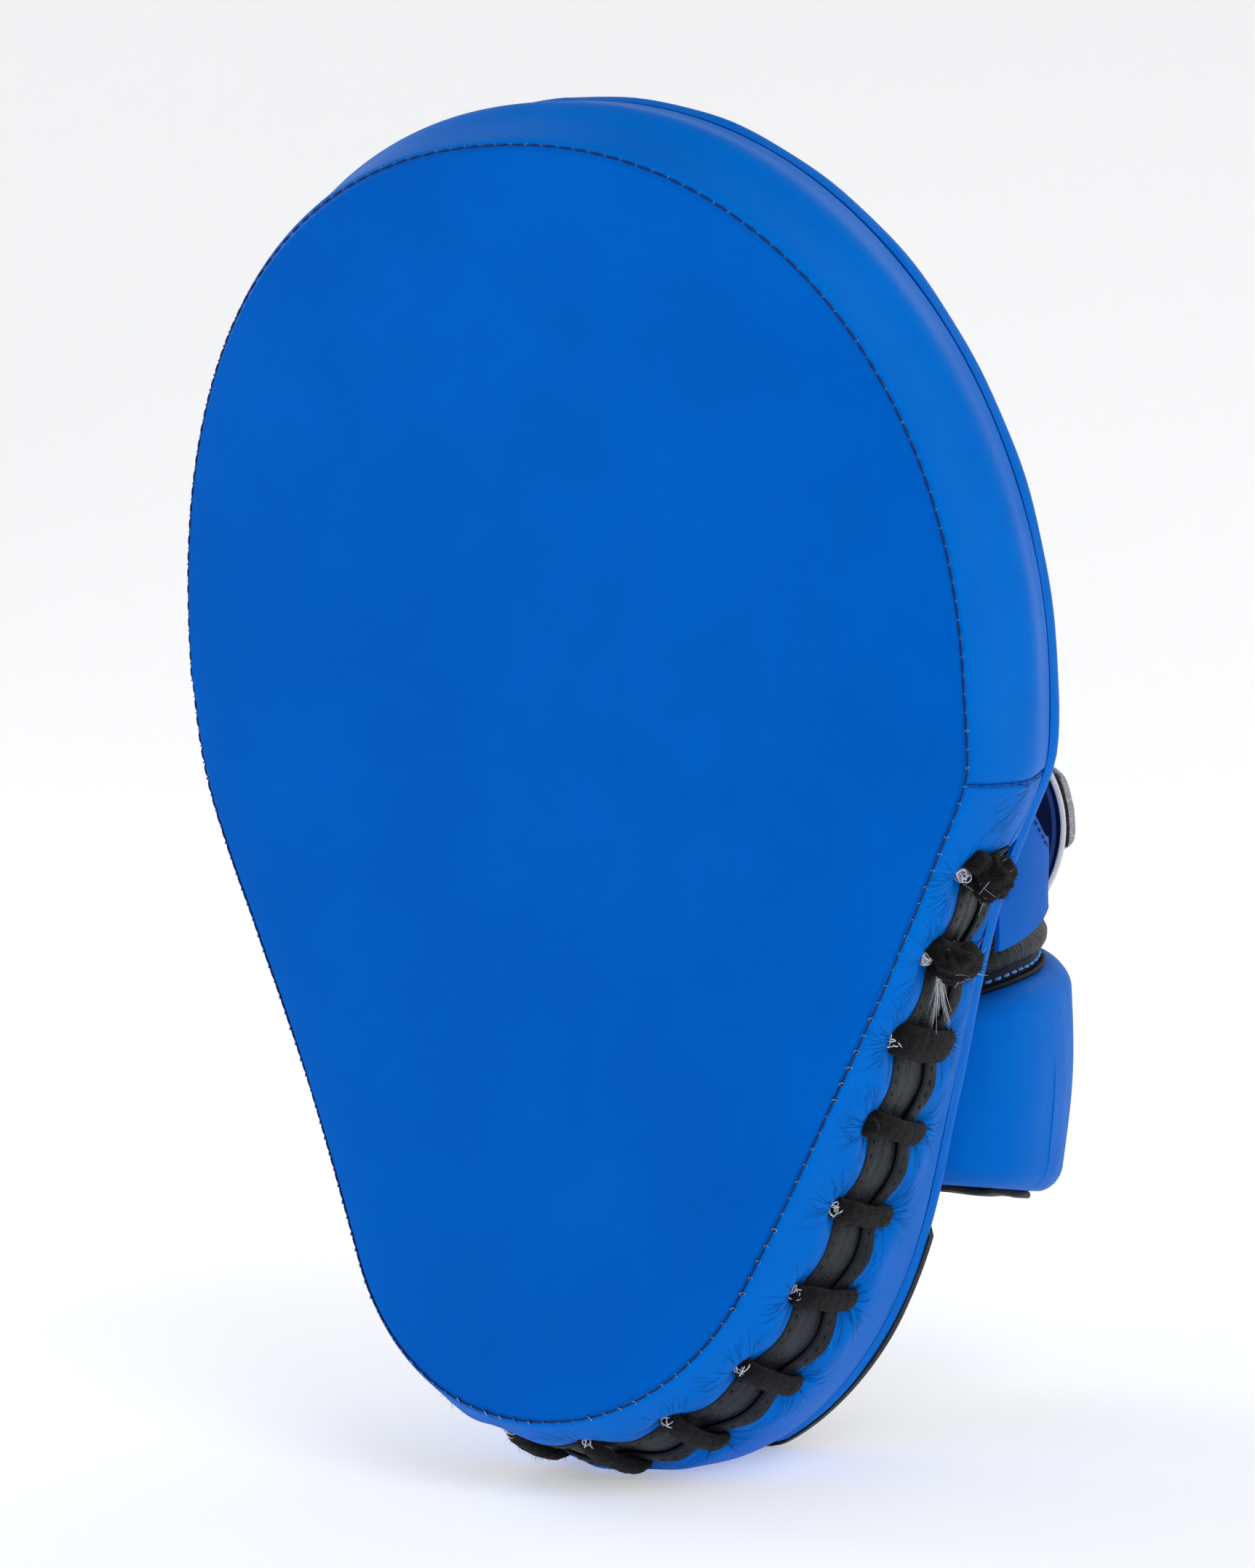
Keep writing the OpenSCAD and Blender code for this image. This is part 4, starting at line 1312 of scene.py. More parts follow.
# ---------------------------------------------------------------- striking side
@dataclass
class StrikingSide:
    """The striking face, the seam round it and the gusset from cross seam to cross seam."""

    pad: Pad
    shop: Workshop
    around: int = 300
    rings: int = 46
    sewing: Sewing = field(default_factory=Sewing)

    def build(self) -> None:
        """Makes every piece of the striking side."""
        self._face()
        self._seam()
        self._upper_gusset()
        self._cross_seams()

    def _face(self) -> None:
        """The crowned face, rolled in at its seam."""
        p = self.pad

        def place(s: Array, t: Array) -> Array:
            """Place on the face, from its seam to its middle."""
            u, v = p.outline(t * p.turns)
            far = np.hypot(u, v)
            share = np.where(s < 0.8, s / 0.8 * 0.92, 0.92 + (s - 0.8) / 0.2 * 0.08)
            edge = (1 - share) * far
            w = -p.crown * (1 - share ** 6) + rounded(edge, p.seam)
            w = w + 0.5 * bump(edge, 0, 4.0)
            w = w + 0.10 * ripple(u * share / 31, v * share / 37, 2.1) * (1 - share ** 4)
            return p.place(u * share, v * share, w)

        obj = grid_piece("striking_face", self.rings, self.around, place, merged=True)
        edit_all(drop_slivers)
        make_sheet(obj, CORE, p.leather)
        self.shop.hand_over(obj, FACE_LEATHER, "face_panel", fill=0.8)

    def _seam(self) -> None:
        """Sunk navy stitches round the face, with a pale loop as a painted glint and a dark bead as painted
        hole shade where two meet.
        """
        p = self.pad
        low, high = p.arc(np.array(0.0)), p.arc(np.array(p.turns))

        def line(length: Array) -> Array:
            """Place in the seam at a length."""
            return p.gusset(p.station(low + length), np.full_like(length, p.seam + 0.1), 0.45)

        def out(length: Array) -> Array:
            """Outward direction there, leaning to the front."""
            side = p.outwards_at(p.station(low + length), np.full_like(length, p.seam))
            return unit(side + np.array([0.0, -0.8, 0.0]))

        ends = self.sewing.row("face_stitches", line, out, float(high - low), self.shop, NAVY_THREAD,
                               "face_seam_thread")[:-1]
        # Painted glints and painted hole shade at the stitch ends.
        self._knots("face_stitch_knots", line(ends), out(ends),
                    unit(line(ends + 0.2) - line(ends - 0.2)), p.outline(p.station(low + ends))[1])

    def _knots(self, name: str, places: Array, out: Array, along: Array, height: Array) -> None:
        """Little pale loops at the stitch ends, larger towards the heel, as painted glints, and dark beads
        under them as painted shade in the needle holes.

        Args:
            name: Name of the piece.
            places: Places of the stitch ends.
            out: Outward direction at each.
            along: Direction of the row at each.
            height: Distance along the bend of each.
        """
        # Painted glints: pale loops at the stitch ends.
        deselect()
        bpy.ops.mesh.primitive_torus_add(major_segments=9, minor_segments=4, major_radius=0.40 * MM,
                                         minor_radius=0.11 * MM)
        model = bpy.context.object
        stretch(0.8, 1.25, 1.0)
        rng = np.random.default_rng(11)
        side = unit(np.cross(out, along))
        tilt = rng.uniform(-0.5, 0.5, (len(places), 1))
        x = unit(along + side * tilt)
        z = unit(out + along * rng.uniform(0.3, 0.9, (len(places), 1)))
        y = unit(np.cross(z, x))
        x = np.cross(y, z)
        grow = (0.45 + 0.6 * ease((30 - height) / 90)) * rng.uniform(0.6, 1.25, len(places))
        turns = np.stack([x, y, z], -1) * grow[:, None, None]
        obj = copies(name, model, turns, places + out * 0.16 * MM)
        self.shop.hand_over(obj, PAINTED_GLINT_THREAD)
        # Painted shade: dark beads in the needle holes.
        deselect()
        bpy.ops.mesh.primitive_ico_sphere_add(subdivisions=2, radius=0.46 * MM)
        model = bpy.context.object
        stretch(0.75, 1.2, 0.55)
        obj = copies(name.replace("knots", "holes"), model, turns, places + out * 0.02 * MM)
        self.shop.hand_over(obj, PAINTED_HOLE_SHADE)

    def _upper_gusset(self) -> None:
        """The long gusset over the fingertip end, with its soft ridge."""
        p = self.pad

        def place(s: Array, t: Array) -> Array:
            """Place on the gusset, from the face to the back."""
            i = -p.thumb + 2 * p.thumb * t
            v = p.outline(i)[1]
            end = p.thick(v) - 0.2
            w = p.seam + (end - p.seam) * s
            ends = np.minimum(p.arc(i) - p.arc(-p.thumb), p.arc(np.array(p.thumb)) - p.arc(i))
            d = rounded(w - p.seam, p.seam) + rounded(end - w, 1.4) + rounded(ends, 0.9)
            return p.gusset(i, w, d)

        obj = grid_piece("upper_gusset_leather", 40, 380, place)
        make_sheet(obj, CORE, p.leather)
        self.shop.hand_over(obj, GUSSET_LEATHER, "upper_gusset")

    def _cross_seams(self) -> None:
        """Short stitched seams where the upper and lower gussets meet."""
        p = self.pad
        for number, station in enumerate((p.thumb, p.far)):
            depth = float(p.thick(p.outline(np.array(station))[1])) - 3.0

            def line(length: Array, i: float = station) -> Array:
                """Place beside the seam at a depth."""
                return p.gusset(np.full_like(length, i), 1.8 + length, 0.42)

            def out(length: Array, i: float = station) -> Array:
                """Outward direction there."""
                return p.outwards_at(np.full_like(length, i), 1.8 + length)

            nodes = ("gusset_cross_thread",) if number == 0 else ()
            Sewing(pitch=3.3, length=2.9, radius=0.17).row(
                f"cross_seam_stitches_{number + 1}", line, out, depth, self.shop, BLUE_THREAD, *nodes)


# ---------------------------------------------------------------- lacing
class Edge(Enum):
    """The two sides of the lace opening."""

    FRONT = -1
    REAR = 1


@dataclass
class Lacing:
    """Lower gussets, the bound opening between them and the fuzzy lace that draws it shut."""

    pad: Pad
    shop: Workshop
    along: int = 560
    lace_wide: float = 4.7
    lace_thick: float = 2.9
    fuzz: int = 2600
    knot_fuzz: int = 620
    steps: int = 7
    strands: int = 18
    doubled_bar: int = 2
    bare_bar: int = 3
    knot_shift: float = -2.6
    bar_shape: tuple[tuple[float, float], ...] = (
        (-1, 2.0), (-1, 0.2), (-0.9, -1.5), (-0.55, -2.2), (0, -2.4), (0.55, -2.2), (0.9, -1.5), (1, 0.2),
        (1, 2.0))

    def build(self) -> None:
        """Makes every piece of the lacing."""
        for edge in Edge:
            self._gusset(edge)
            self._binding(edge)
            self._binding_stitches(edge)
        self._tongue()
        bars = self._lace()
        self._knots()
        self._loose_fibres(bars)
        self._hole_loops()
        self._frayed_strands()

    def _lower(self, t: Array) -> Array:
        """Station at a share of the way along the lower gussets."""
        p = self.pad
        return p.station(p.arc(np.array(p.thumb)) * (1 - t) + p.arc(np.array(p.far)) * t)

    def _open(self, t: Array) -> Array:
        """Station at a share of the way along the opening.

        Args:
            t: Share along.

        Returns:
            The station.
        """
        p = self.pad
        low, high = p.arc(np.array(p.thumb + 0.81)), p.arc(np.array(p.far - 0.81))
        return p.station(low * (1 - t) + high * t)

    def _gusset(self, edge: Edge) -> None:
        """One lower gusset, puckered by the lace.

        Args:
            edge: Side of the opening.
        """
        p = self.pad
        front = edge is Edge.FRONT

        def depths(i: Array) -> tuple[Array, Array]:
            """First and last depth of the gusset at a station."""
            v = p.outline(i)[1]
            middle, gap = p.lace_middle(v), p.half_gap(i)
            if front:
                return np.full_like(i, p.seam), middle - gap - 0.1
            return middle + gap + 0.1, p.thick(v) - 0.2

        def place(s: Array, t: Array) -> Array:
            """Place on the gusset."""
            i = self._lower(t)
            start, end = depths(i)
            w = start + (end - start) * s
            ends = np.minimum(p.arc(i) - p.arc(np.array(p.thumb)), p.arc(np.array(p.far)) - p.arc(i))
            seam_side, free_side = (w - start, end - w) if front else (end - w, w - start)
            d = rounded(seam_side, p.seam) + rounded(free_side, 1.0) + rounded(ends, 0.9)
            return p.gusset(i, w, d)

        def uv(s: Array, t: Array) -> tuple[Array, Array]:
            """Bars counted along it, and centimetres from the opening."""
            i = self._lower(t)
            start, end = depths(i)
            w = start + (end - start) * s
            return (p.bar_count(i), (w - p.lace_middle(p.outline(i)[1])) / 10.0)

        obj = grid_piece(f"lower_{edge.name.lower()}_gusset_leather", 34, self.along, place)
        set_uv(obj, uv)
        make_sheet(obj, CORE, p.leather)
        self.shop.hand_over(obj, LACED_LEATHER, f"lower_{edge.name.lower()}_gusset")

    def _binding(self, edge: Edge) -> None:
        """A folded black edge along one side of the opening.

        Args:
            edge: Side of the opening.
        """
        p = self.pad

        def place(s: Array, t: Array) -> Array:
            """Place on the folded edge."""
            i = self._open(t)
            v = p.outline(i)[1]
            gap = p.half_gap(i)
            outer = gap + 1.4 * ease(gap / 3.0)
            inner = np.maximum(outer - p.binding, 0.1)
            a = TURN * s
            x = (outer + inner) / 2 - (outer - inner) / 2 * np.cos(a)
            lump = 0.08 * ripple(p.arc(i) / 3.6, a, 3.3 + edge.value)
            d = -0.3 - (0.46 + lump) * np.sin(a)
            d = d - 0.35 * np.maximum(np.cos(a), 0) ** 2 * np.maximum(np.sin(a), 0)
            return p.gusset(i, p.lace_middle(v) + edge.value * x, d + 0.25)

        obj = grid_piece(f"{edge.name.lower()}_binding_edge", 20, self.along, place, closed=True)
        self.shop.hand_over(obj, BLACK_EDGE, f"{edge.name.lower()}_lace_binding", crisp=60.0)

    def _binding_stitches(self, edge: Edge) -> None:
        """Black stitches along the middle of a binding.

        Args:
            edge: Side of the opening.
        """
        p = self.pad
        low, high = p.arc(np.array(p.thumb + 1.0)), p.arc(np.array(p.far - 1.0))

        def at(length: Array) -> tuple[Array, Array]:
            """Station and depth of the stitches at a length."""
            i = p.station(low + length)
            x = np.maximum(p.half_gap(i) - 0.7, 0.6)
            return i, p.lace_middle(p.outline(i)[1]) + edge.value * x

        def line(length: Array) -> Array:
            """Place at a length."""
            i, w = at(length)
            return p.gusset(i, w, -0.48)

        def out(length: Array) -> Array:
            """Outward direction there."""
            return p.outwards_at(*at(length))

        Sewing(pitch=2.6, length=2.0, radius=0.24).row(
            f"{edge.name.lower()}_binding_stitches", line, out, float(high - low), self.shop, BLACK_THREAD)

    def _tongue(self) -> None:
        """The black tongue under the opening, with a raised crease along its middle."""
        p = self.pad

        def place(s: Array, t: Array) -> Array:
            """Place on the tongue."""
            i = self._open(t)
            v = p.outline(i)[1]
            half = p.half_gap(i) + 1.8
            x = (2 * s - 1) * half
            arc = p.arc(i)
            crease = 0.45 * bump(x + 0.5 + 0.4 * np.sin(arc / 9), 0, 0.45)
            fold = 0.14 * ripple(arc / 7.5, x / 3.0, 5.0)
            d = 0.55 - 0.25 * p.open_share(v) * (1 - p.pull(i)) - crease - fold
            return p.gusset(i, p.lace_middle(v) + x, np.maximum(d, 0.1 + 1.0 * np.abs(2 * s - 1) ** 3))

        obj = grid_piece("opening_tongue", 22, self.along, place)
        make_sheet(obj, CORE, 1.0)
        self.shop.hand_over(obj, BLACK_LEATHER, "lace_tongue")

    def _route(self) -> Array:
        """The lace's route as station, depth and set-in, bar after bar.

        Returns:
            Station, depth and set-in of each point.
        """
        p = self.pad
        route = []
        for k in range(p.bars):
            i = float(p.bar_station(k))
            middle = float(p.lace_middle(p.outline(np.array(i))[1]))
            way = 1 if k % 2 == 0 else -1
            slant = 0.05 * math.sin(2.1 * k + 0.6) + 0.19 * max(0.0, 1.0 - k / 4.0)
            for share, d in self.bar_shape:
                route.append((i + slant * share * way, middle + way * share * p.bar / 2, d))
        return np.array(route)

    def _lace(self) -> bpy.types.Object:
        """The lace in one length, swept along its route and roughened.

        Returns:
            The cord.
        """
        p = self.pad
        route = curve_through(self._route(), self.steps)
        path = p.gusset(route[:, 0], route[:, 1], route[:, 2])
        path[:, 2] = np.maximum(path[:, 2], (self.lace_thick / 2 + 0.1) * MM)
        side = p.outwards_at(route[:, 0], route[:, 1])
        outside = ease((1.0 - route[:, 2]) / 2.0)
        wide = (0.7 + 0.3 * outside) * self.lace_wide / 2 * MM
        thick = (0.8 + 0.2 * outside) * self.lace_thick / 2 * MM
        doubled = (np.arange(len(route)) // (len(self.bar_shape) * self.steps) == self.doubled_bar) * outside
        wide, thick = wide * (1 + 0.5 * doubled), thick * (1 + 0.2 * doubled)
        obj = sweep("laced_cord", path, side, wide, thick, sides=self.strands)
        co = vertices(obj)
        rng = np.random.default_rng(5)
        lump = 0.16 * ripple(co[:, 0] / MM / 1.3 + co[:, 2] / MM / 1.1, co[:, 1] / MM / 1.2, 1.9)
        co += vertices(obj, "normal") * ((lump + rng.normal(0, 0.05, len(co))) * MM)[:, None]
        set_vertices(obj, co)
        self.shop.hand_over(obj, LACE_COTTON, "lace", crisp=70.0)
        return obj

    def _knot(self, name: str, k: int, shift: float, half: tuple[float, float, float]) -> Array:
        """One matted knot over a bar, with the turns of the lace showing as soft ridges.

        Args:
            name: Name of the knot.
            k: Bar that it sits on.
            shift: How far it sits from the opening's middle, towards the back.
            half: Half its length across the opening, along it and off it.

        Returns:
            Its surface points.
        """
        p = self.pad
        i = p.bar_station(np.array(float(k)))
        w = p.lace_middle(p.outline(i)[1]) + shift
        out = p.outwards_at(i, w)
        across = unit(p.gusset(i, w + 1, 0.0) - p.gusset(i, w - 1, 0.0))
        frame_axes = np.stack([across, unit(np.cross(out, across)), out])
        deselect()
        bpy.ops.mesh.primitive_ico_sphere_add(subdivisions=6, radius=1.0)
        obj = bpy.context.object
        obj.name = name
        x, y, z = vertices(obj).T
        turn = np.sin(6.5 * x + 5.5 * y + 1.6 * np.sin(3.1 * z + k))
        turn = turn + 0.7 * np.sin(7 * y - 6 * x + 3 * z + k)
        rng = np.random.default_rng(40 + k)
        grow = 1.0 + 0.075 * turn + 0.05 * ripple(x * 6, y * 6 + z * 4, k + 1.0)
        grow = grow + rng.normal(0, 0.008, len(x))
        local = np.stack([x, y, z], -1) * grow[:, None] * np.array(half) * MM
        set_vertices(obj, p.gusset(i, w, -half[2] * 0.8 - 0.6) + local @ frame_axes)
        surface = vertices(obj)
        self.shop.hand_over(obj, LACE_COTTON, crisp=80.0)
        return surface

    def _knots(self) -> None:
        """The ball knot, the thick knot and the bead-like end."""
        p = self.pad
        self.knot_skins = [self._knot("ball_knot", 0, self.knot_shift, (6.0, 4.6, 3.6)),
                           self._knot("thick_knot", 1, self.knot_shift, (8.2, 4.2, 3.3))]
        i = p.bar_station(np.array(float(self.bare_bar)))
        w = p.lace_middle(p.outline(i)[1]) - p.bar / 2 - 0.6
        deselect()
        bpy.ops.mesh.primitive_ico_sphere_add(subdivisions=4, radius=2.1 * MM,
                                              location=tuple(p.gusset(i, w, -1.2)))
        bead = bpy.context.object
        bead.name = "lace_end_bead"
        bpy.ops.object.transform_apply(location=True)
        co = vertices(bead)
        middle = co.mean(0)
        away = unit(co - middle)
        co += away * (0.3 * ripple(away[:, 0] * 3.2, away[:, 1] * 3.4 + away[:, 2], 4.0) * MM)[:, None]
        set_vertices(bead, co)
        self.shop.hand_over(bead, LACE_COTTON, crisp=80.0)

    def _loose_fibres(self, cord: bpy.types.Object) -> None:
        """Fine black fibres that stand off the lace and its knots.

        Args:
            cord: The lace.
        """
        p = self.pad
        rng = np.random.default_rng(21)
        co = vertices(cord)
        normal = vertices(cord, "normal")
        route = curve_through(self._route(), self.steps)
        outer = np.repeat(route[:, 2] < -0.6, self.strands)[:len(co)]
        pick = rng.choice(np.flatnonzero(outer), self.fuzz)
        ways = unit(normal[pick] + 0.9 * rng.normal(size=(self.fuzz, 3)))
        lengths = rng.uniform(0.5, 1.7, self.fuzz) * MM
        roots = co[pick]
        for skin in self.knot_skins:
            some = skin[rng.choice(len(skin), self.knot_fuzz)]
            roots = np.vstack([roots, some])
            ways = np.vstack([ways, unit(unit(some - skin.mean(0)) + 0.8 * rng.normal(size=some.shape))])
            lengths = np.append(lengths, rng.uniform(0.4, 1.6, self.knot_fuzz) * MM)
        lengths[roots[:, 2] < 2.5 * MM] *= 0.3
        obj = fibres("lace_fuzz", fibre_model(0.5), roots, ways, lengths, 0.045 * MM, 3)
        keep_above(obj, 0.1)
        self.shop.hand_over(obj, LACE_FIBRE)

    def _hole_loops(self) -> None:
        """Pale frayed loops at the holes: loose lace fibres, whose pale colour is a painted glint on them."""
        p = self.pad
        rng = np.random.default_rng(8)
        deselect()
        bpy.ops.mesh.primitive_torus_add(major_segments=12, minor_segments=3, major_radius=1.0 * MM,
                                         minor_radius=0.11 * MM)
        model = bpy.context.object
        stretch(1.0, 0.72, 1.0)
        places, turns = [], []
        for k in range(p.bars):
            for edge, many, size in ((Edge.FRONT, 11, 1.35), (Edge.REAR, 3, 0.8)):
                if edge is Edge.FRONT and k == self.bare_bar:
                    continue
                i = p.bar_station(np.array(float(k)))
                w = p.lace_middle(p.outline(i)[1]) + edge.value * (p.bar / 2 + 0.2)
                middle, out = p.gusset(i, w, -0.9), p.outwards_at(i, w)
                for _ in range(many):
                    z = unit(0.5 * out + rng.normal(size=3) * 0.9)
                    x = unit(np.cross(z, rng.normal(size=3)))
                    scale = size * rng.uniform(0.75, 1.25)
                    turns.append(np.stack([x, np.cross(z, x), z], -1) * scale)
                    places.append(middle + rng.normal(size=3) * 0.35 * MM)
        spots = np.array(places)
        spots[:, 2] = np.maximum(spots[:, 2], 1.9 * MM)
        # Painted glints: the loops' pale colour stands for glints on the lace fibres at the holes.
        obj = copies("frayed_and_glint_hole_loops", model, np.array(turns), spots)
        self.shop.hand_over(obj, WHITE_FIBRE)

    def _frayed_strands(self) -> None:
        """Pale strands that hang from the thick knot, and short ones about both knots."""
        p = self.pad
        rng = np.random.default_rng(17)
        i = p.bar_station(np.array(1.0))
        w = p.lace_middle(p.outline(i)[1])
        start = p.gusset(i, w - 8.5, -3.0)
        end = p.gusset(p.bar_station(np.array(1.83)), w + 2.6, -1.8)
        many, short = 30, 26
        roots = start + rng.normal(size=(many, 3)) * 0.4 * MM
        goals = end + rng.normal(size=(many, 3)) * np.array([0.6, 0.8, 1.3]) * MM
        roots = np.vstack([roots] + [skin[rng.choice(len(skin), short)] for skin in self.knot_skins])
        ways = np.vstack([goals - roots[:many], rng.normal(size=(2 * short, 3))])
        lengths = np.append(np.linalg.norm(ways[:many], axis=1) * rng.uniform(0.6, 1.05, many),
                            rng.uniform(1.5, 4.0, 2 * short) * MM)
        obj = fibres("frayed_strands", fibre_model(0.16), roots, ways, lengths, 0.07 * MM, 9)
        self.shop.hand_over(obj, WHITE_FIBRE)


# ---------------------------------------------------------------- inside and back of the pad
@dataclass
class FoamStack:
    """The three glued foam layers inside the jacket."""

    pad: Pad
    shop: Workshop
    inset: float = 1.9
    bed: float = 4.6
    first_joint: float = 0.34
    second_joint: float = 0.7
    clear: float = 0.2

    def build(self) -> None:
        """Makes the three layers."""
        p = self.pad
        one, two, gap = self.first_joint, self.second_joint, self.clear
        self._layer("striking_foam_layer", 0.0, one, p.leather + 0.5, -gap, STRIKE_FOAM, "strike_foam")
        self._layer("core_foam_layer", one, two, gap, -gap, CORE_FOAM, "core_foam")
        self._layer("rear_foam_layer", two, 1.0, gap, -2 * gap, SOFT_FOAM, "rear_foam")

    def _layer(self, name: str, top: float, bottom: float, start: float, end: float, finish: Finish,
               node: str) -> None:
        """One layer between two shares of the thickness, with softened edges.

        Args:
            name: Name of the layer.
            top: Share of the thickness at its front.
            bottom: Share of the thickness at its back.
            start: Rise of its front.
            end: Rise of its back.
            finish: Its finish.
            node: CAD node that it stands for.
        """
        p = self.pad

        def place(s: Array, t: Array) -> Array:
            """Place on the layer, round its front, rim and back."""
            i = t * p.turns
            u, v = p.outline(i)
            nu, nv = p.outward(i)
            a = np.clip((s - 0.35) / 0.3, 0.0, 1.0) * math.pi
            share = np.where(s < 0.35, s / 0.35, np.where(s > 0.65, (1 - s) / 0.35, 1.0))
            depth_share = top + (bottom - top) * (1 - np.cos(a)) / 2
            rise = np.where(s < 0.5, start, end)
            if name.startswith("striking"):
                rise = np.where(s < 0.5, start - p.crown * (1 - share ** 6), end)
            w_rim = p.thick(v) * depth_share
            puff = p.swell(i, w_rim) * np.where(depth_share > 0.95, 0.4, 1.0)
            out = puff - self.inset - self.bed * ease((6 - v) / 12) * np.minimum(depth_share / 0.16, 1.0)
            out = out - 1.6 * (1 - np.sin(a)) - 1.4 * ease((depth_share - 0.9) / 0.1)
            w = p.thick(v * share, share) * depth_share + rise
            return p.place((u + nu * out) * share, (v + nv * out) * share, w, 2.9)

        obj = grid_piece(name, 44, 160, place, merged=True)
        edit_all(drop_slivers, point_outwards)
        self.shop.hand_over(obj, finish, node, fill=0.9)


@dataclass
class BackOfPad:
    """Pillowed back panel, its seam, the heel patch and the palm ball."""

    pad: Pad
    shop: Workshop
    ball_height: float = -8.0
    ball_radius: float = 31.0
    ball_rise: float = 16.4
    ball_squash: float = 0.85

    def build(self) -> None:
        """Makes every piece of the back."""
        self._panel()
        self._seam()
        self._patch()
        self._patch_stitches()
        self._ball()

    def _panel(self) -> None:
        """The back panel, with soft gathers towards its seam."""
        p = self.pad

        def place(s: Array, t: Array) -> Array:
            """Place on the panel."""
            i = t * p.turns
            arc = p.arc(i)
            gather = 0.22 * ripple(arc / 6.0, s * 3, 6.1) * ease((s - 0.72) / 0.2)
            gather = gather * (1 - ease((s - 0.97) / 0.03))
            return p.back(i, s, 0.0) + p.outwards_at(i, p.thick(p.outline(i)[1])) * (gather * MM)[:, None]

        obj = grid_piece("back_leather_panel", 48, 280, place, merged=True)
        edit_all(drop_slivers)
        make_sheet(obj, CORE, self.pad.leather)
        self.shop.hand_over(obj, BACK_LEATHER, "back_panel", fill=0.7)

    def _seam(self) -> None:
        """Stitches in the seam between the gussets and the back panel."""
        p = self.pad
        low, high = p.arc(np.array(0.0)), p.arc(np.array(p.turns))

        def line(length: Array) -> Array:
            """Place in the seam at a length."""
            i = p.station(low + length)
            return p.gusset(i, p.thick(p.outline(i)[1]) + 0.05, 0.75)

        def out(length: Array) -> Array:
            """Outward direction there, leaning to the back."""
            i = p.station(low + length)
            return unit(p.outwards_at(i, p.thick(p.outline(i)[1])) + np.array([0.0, 0.5, 0.0]))

        Sewing(pitch=4.4, length=3.2, radius=0.32).row("back_seam_stitches", line, out, float(high - low),
                                                       self.shop, NAVY_THREAD)

    def _patch(self) -> None:
        """Black patch that wraps the heel of the back panel."""
        p = self.pad

        def place(s: Array, t: Array) -> Array:
            """Place on the patch."""
            i = p.turns / 2 + (2 * t - 1) * 7.6
            edge = np.minimum(s * 26, np.minimum(t, 1 - t) * 190)
            return p.back(i, 0.54 + 0.39 * s, 1.25 - rounded(edge, 0.8) - 0.9 * ease((s - 0.9) / 0.1), 0.0)

        obj = grid_piece("heel_wear_patch", 30, 190, place)
        make_sheet(obj, CORE, 1.0)
        self.shop.hand_over(obj, BLACK_LEATHER, "heel_patch")

    def _patch_stitches(self) -> None:
        """Two rows along the free edge of the heel patch."""
        p = self.pad
        for row, q in enumerate((0.562, 0.59)):
            s = 0.95 * q / 0.75
            low, high = p.arc(np.array(p.turns / 2 - 7.4)), p.arc(np.array(p.turns / 2 + 7.4))

            def line(length: Array, share: float = s, at: float = q) -> Array:
                """Place at a length."""
                return p.back(p.station(low + length / share), np.full_like(length, at), 1.45, 0.0)

            def out(length: Array, share: float = s, at: float = q) -> Array:
                """Outward direction there."""
                i = p.station(low + length / share)
                return unit(p.back(i, np.full_like(length, at), 2.4, 0.0)
                            - p.back(i, np.full_like(length, at), 1.4, 0.0) + np.array([0.0, 1e-6, 0.0]))

            Sewing(pitch=3.2, length=2.5, radius=0.28).row(
                f"heel_patch_stitches_{row + 1}", line, out, float(high - low) * s, self.shop, BLACK_THREAD)

    def _dome(self, radius: float, rise: float, s: Array, t: Array, foot: float = 0.3) -> Array:
        """Place on a low dome over the back panel.

        Args:
            radius: Radius of the dome.
            rise: Height of the dome.
            s: Share from its top to its foot.
            t: Share of a turn.
            foot: Least rise.

        Returns:
            Places in metres.
        """
        a = TURN * t
        reach = radius * np.sin(s * math.pi / 2)
        x, h = reach * np.cos(a), self.ball_height + self.ball_squash * reach * np.sin(a)
        return self.pad.over_back(x, h, foot + rise * np.cos(s * math.pi / 2) ** 0.9)

    def _ball(self) -> None:
        """Palm ball: a stuffed dome under a stitched cover."""
        def cover(s: Array, t: Array) -> Array:
            """Place on the cover, pinched in four places."""
            pinch = 0.35 * np.cos(t * TURN * 4) * np.sin(s * math.pi)
            return self._dome(self.ball_radius + 1.5, self.ball_rise, s, t) + np.stack(
                [0 * s, pinch * MM * 0.4, 0 * s], -1)

        def stuffing(s: Array, t: Array) -> Array:
            """Place on the stuffing."""
            return self._dome(self.ball_radius - 2.0, 14.0, s, t)

        obj = grid_piece("palm_ball_jacket", 26, 96, cover, merged=True)
        edit_all(drop_slivers)
        make_sheet(obj, CORE, 1.4)
        self.shop.hand_over(obj, BLACK_LEATHER, "palm_ball_cover", fill=0.9)
        obj = grid_piece("palm_ball_stuffing", 16, 64, stuffing, closed=True)
        self.shop.hand_over(obj, SOFT_FOAM, "palm_ball_foam", fill=0.9)
        pad = self.pad

        def line(length: Array) -> Array:
            """Place at a length round the ball."""
            a = length / self.ball_radius
            reach = self.ball_radius - 0.2
            x, h = reach * np.cos(a), self.ball_height + self.ball_squash * reach * np.sin(a)
            return pad.over_back(x, h, np.full_like(length, 5.6))

        def out(length: Array) -> Array:
            """Outward direction there."""
            a = length / self.ball_radius
            return unit(np.stack([np.cos(a), 0.8 + 0 * a, np.sin(a)], -1))

        Sewing(pitch=3.4, length=2.6, radius=0.28).row("palm_ball_stitches", line, out,
                                                       TURN * self.ball_radius, self.shop, BLACK_THREAD)


